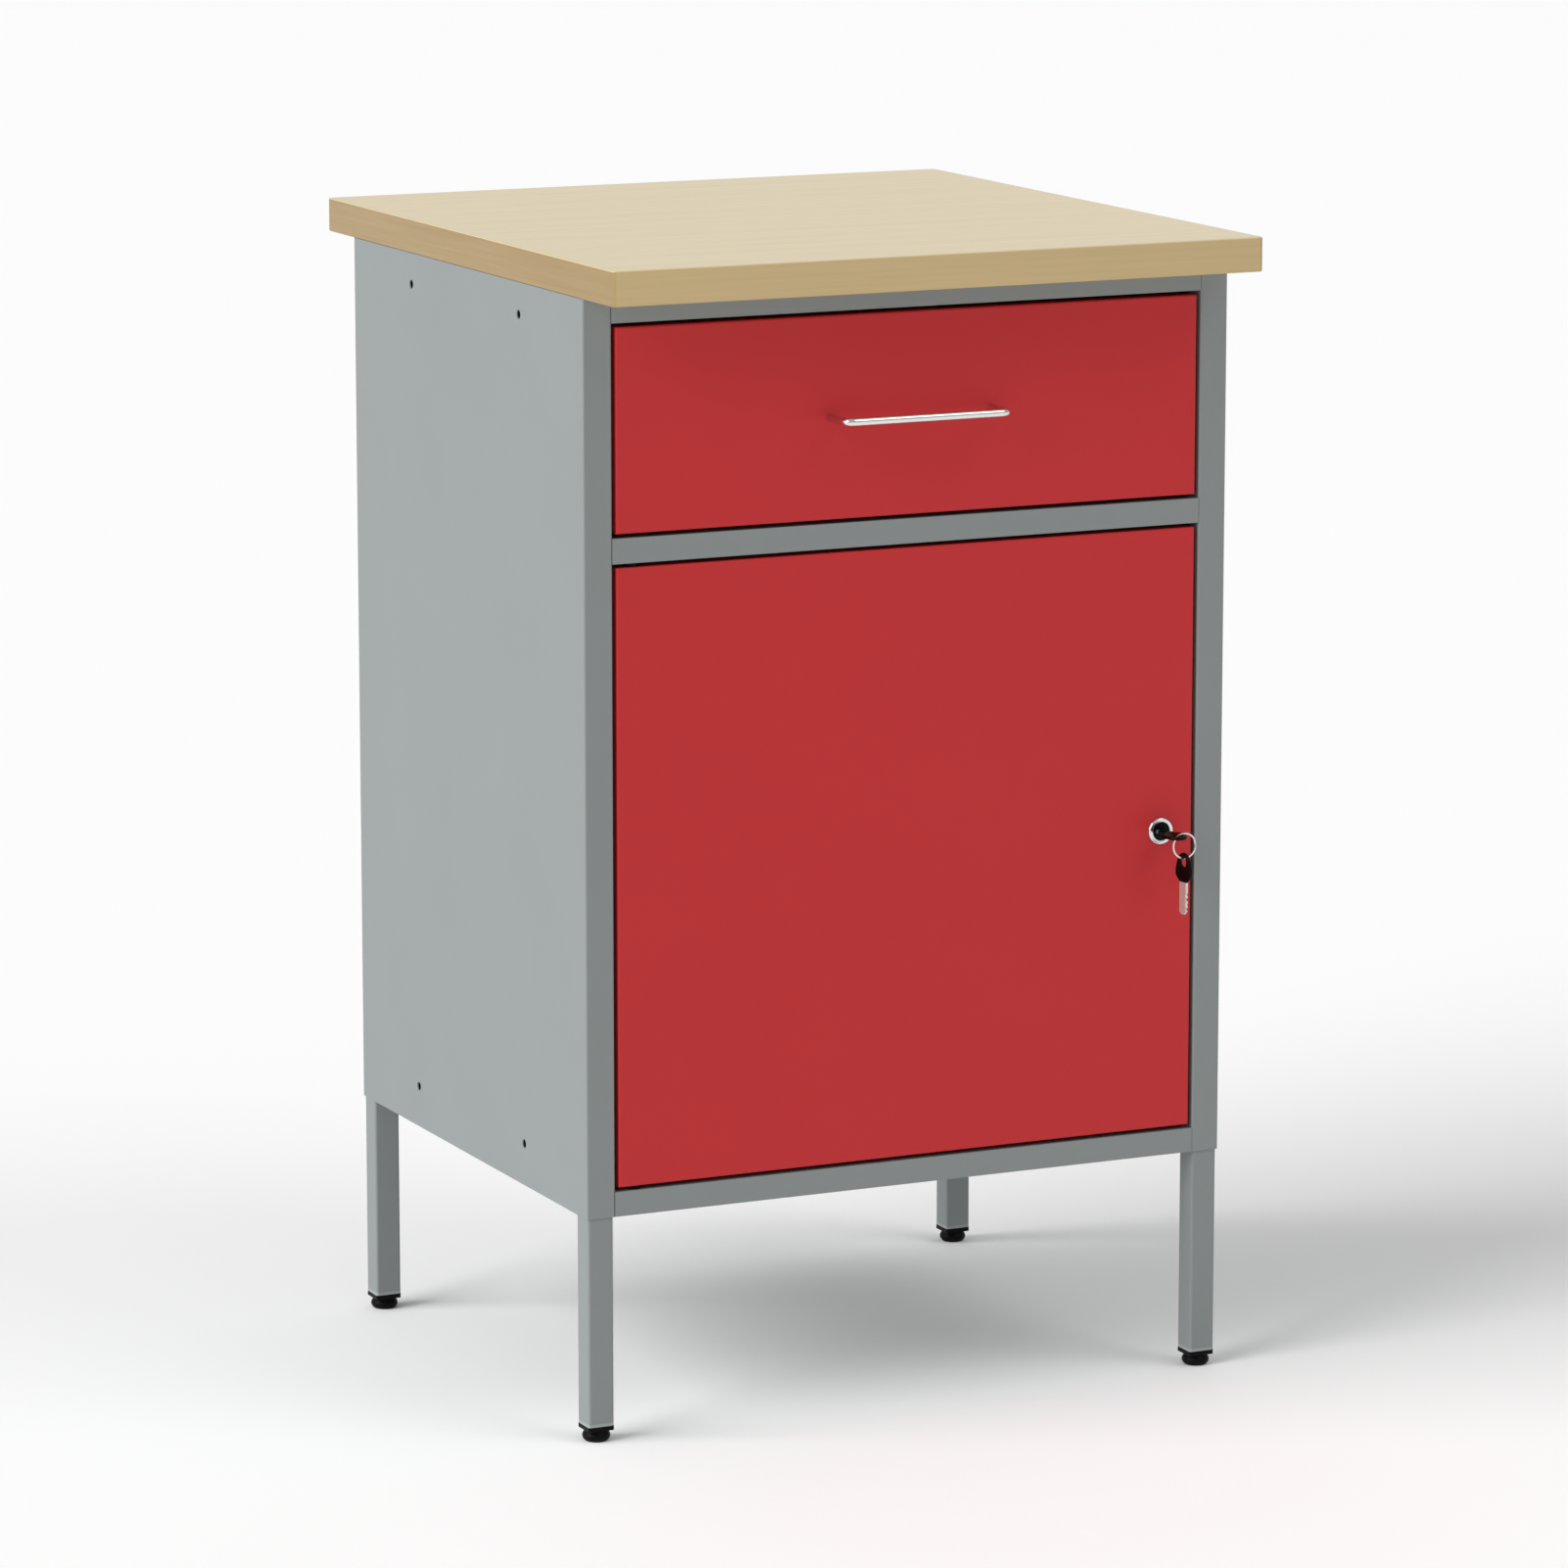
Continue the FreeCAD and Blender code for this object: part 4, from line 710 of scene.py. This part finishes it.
def make_pivots():
    """Bright pins with bevelled ends, and the flanged black bushes that turn on them.

    Both are drawn from the outer end of the lower pin or bush upwards, and turned over for the upper one.
    """
    pin_radius = 3
    pin_length = 15.2
    bevel = 0.5
    pin = soften([
        (0, 0), (2.6, 0), (pin_radius, 0.4), (pin_radius, pin_length - bevel),
        (pin_radius - bevel, pin_length), (0, pin_length),
    ], 0.25, 3)
    bore = 3.05
    barrel = 4.95
    flange = 5.8
    flange_thick = 2.9
    bush_length = 9.9
    bush = soften([
        (bore, 0), (flange, 0), (flange, flange_thick), (barrel, flange_thick), (barrel, bush_length),
        (bore, bush_length),
    ], 0.3, 3, closed=True)
    for name, node, profile, body, finish in (
        ("pivot_pins", "hinge_pins", pin, "carcass", ZINC),
        ("pivot_bushes", "hinge_bushes", bush, "door", BLACK),
    ):
        low, high = corners(node)
        x, y, _ = (low + high) / 2
        pair = [aimed(turned(profile, 40), (x, y, low[2]), (0, 0, 1)),
                aimed(turned(profile, 40), (x, y, high[2]), (0, 0, -1))]
        make_piece(name, pair, body, finish, [node], rows_closed=profile is bush)


def make_buffers():
    """Domed rubber buttons on the two stop plates."""
    low, high = corners("door_buffers")
    thick = high[1] - low[1]
    radius = 4.9
    from_end = 5
    dome = soften([(0, thick), (3.2, thick - 0.15), (4.7, thick - 1.2), (radius, 0), (0, 0)], 0.8, 6)
    x = (low[0] + high[0]) / 2
    levels = (low[2] + from_end, high[2] - from_end)
    pair = [aimed(turned(dome, 48), (x, high[1], level), (0, -1, 0)) for level in levels]
    make_piece("door_buffer_buttons", pair, "carcass", RUBBER, ["door_buffers"])


# Balls of the runners

def make_balls():
    """Round balls over the windows of the four cages: (r cos b cos a, r cos b sin a, r sin b).

    A row of balls runs at its own share of the runner's thickness, counted from the side of the carcass.
    """
    lift = np.linspace(-math.pi / 2, math.pi / 2, 13)
    sphere = turned(np.stack([np.cos(lift), np.sin(lift)], axis=1) * BALL_RADIUS, 20)
    for part, share in (("outer", 0.55), ("inner", 0.64)):
        for side_name, side in SIDES.items():
            node = f"ball_cage_{part}_{side_name}"
            low, high = corners(node)
            _, y, z = (low + high) / 2
            fixed_face = np.abs(np.stack(corners(f"runner_outer_{side_name}"))[:, 0]).max()
            drawer_face = np.abs(np.stack(corners(f"runner_inner_{side_name}"))[:, 0]).min()
            x = (fixed_face - (fixed_face - drawer_face) * share) * side
            up = (high[2] - low[2]) / 2 - FLAT_BALL_RADIUS
            balls = []
            for number in (-1, 0, 1):
                for way in (-1, 1):
                    balls.append(sphere + (x, y + CAGE_PITCH * number, z + up * way))
            make_piece(f"balls_{part}_{side_name}", balls, f"cage_{part}_{side_name}", BALL)


# Studio

def make_floor():
    """A pale floor that runs out of sight, sixty metres each way."""
    mesh = bpy.data.meshes.new("floor")
    reach = 60
    ends = [(-reach, -reach, 0), (reach, -reach, 0), (reach, reach, 0), (-reach, reach, 0)]
    mesh.from_pydata(ends, [], [(0, 1, 2, 3)])
    pale = {"Base Color": colour("FDFDFD"), "Roughness": 0.9}
    mesh.materials.append(new_material("studio_floor", pale)[0])
    floor = bpy.data.objects.new("floor", mesh)
    bpy.context.scene.collection.objects.link(floor)


def make_light(name, come_from, soft_degrees, strength):
    """Even light from one direction, as from a wide soft box a long way off."""
    lamp = bpy.data.lights.new(name, "SUN")
    lamp.angle = math.radians(soft_degrees)
    lamp.energy = strength
    holder = bpy.data.objects.new(name, lamp)
    holder.rotation_euler = Vector(come_from).to_track_quat("Z", "Y").to_euler()
    bpy.context.scene.collection.objects.link(holder)


def make_studio():
    """A soft box high on the left gives the side its tone, and a weak one on the right adds the glints.

    The pale room and the floor light the fronts.
    """
    make_light("left_soft_box", (-0.86, -0.05, 0.5), 50, 2.85)
    make_light("right_glint", (0.42, -0.5, 0.75), 30, 0.42)
    world = bpy.data.worlds.new("studio")
    world.use_nodes = True
    background = world.node_tree.nodes["Background"]
    background.inputs["Color"].default_value = colour("FFFFFF")
    background.inputs["Strength"].default_value = 0.455
    bpy.context.scene.world = world
    bpy.context.scene.view_settings.view_transform = "Standard"


def make_camera():
    """The photograph's own viewpoint, worked out from the cabinet's edges, its lens filled by the cabinet."""
    aim = Vector((0, 0, 0.425))
    lens = bpy.data.cameras.new("camera")
    lens.sensor_width = 36
    lens.lens = 163
    camera = bpy.data.objects.new("camera", lens)
    camera.location = (-2.2067, -4.7231, 1.4127)
    camera.rotation_euler = (aim - camera.location).to_track_quat("-Z", "Y").to_euler()
    bpy.context.scene.collection.objects.link(camera)
    bpy.context.scene.camera = camera


make_camera()
coat_carried_over_nodes()
make_worktop()
for leg_place in LEG_PLACES:
    make_foot(leg_place)
make_handle()
make_lock_rim()
make_cam()
make_keys()
make_split_ring()
make_worktop_screws()
make_runner_screws()
make_handle_screws()
make_cam_screw()
make_pivots()
make_buffers()
make_balls()
make_floor()
make_studio()
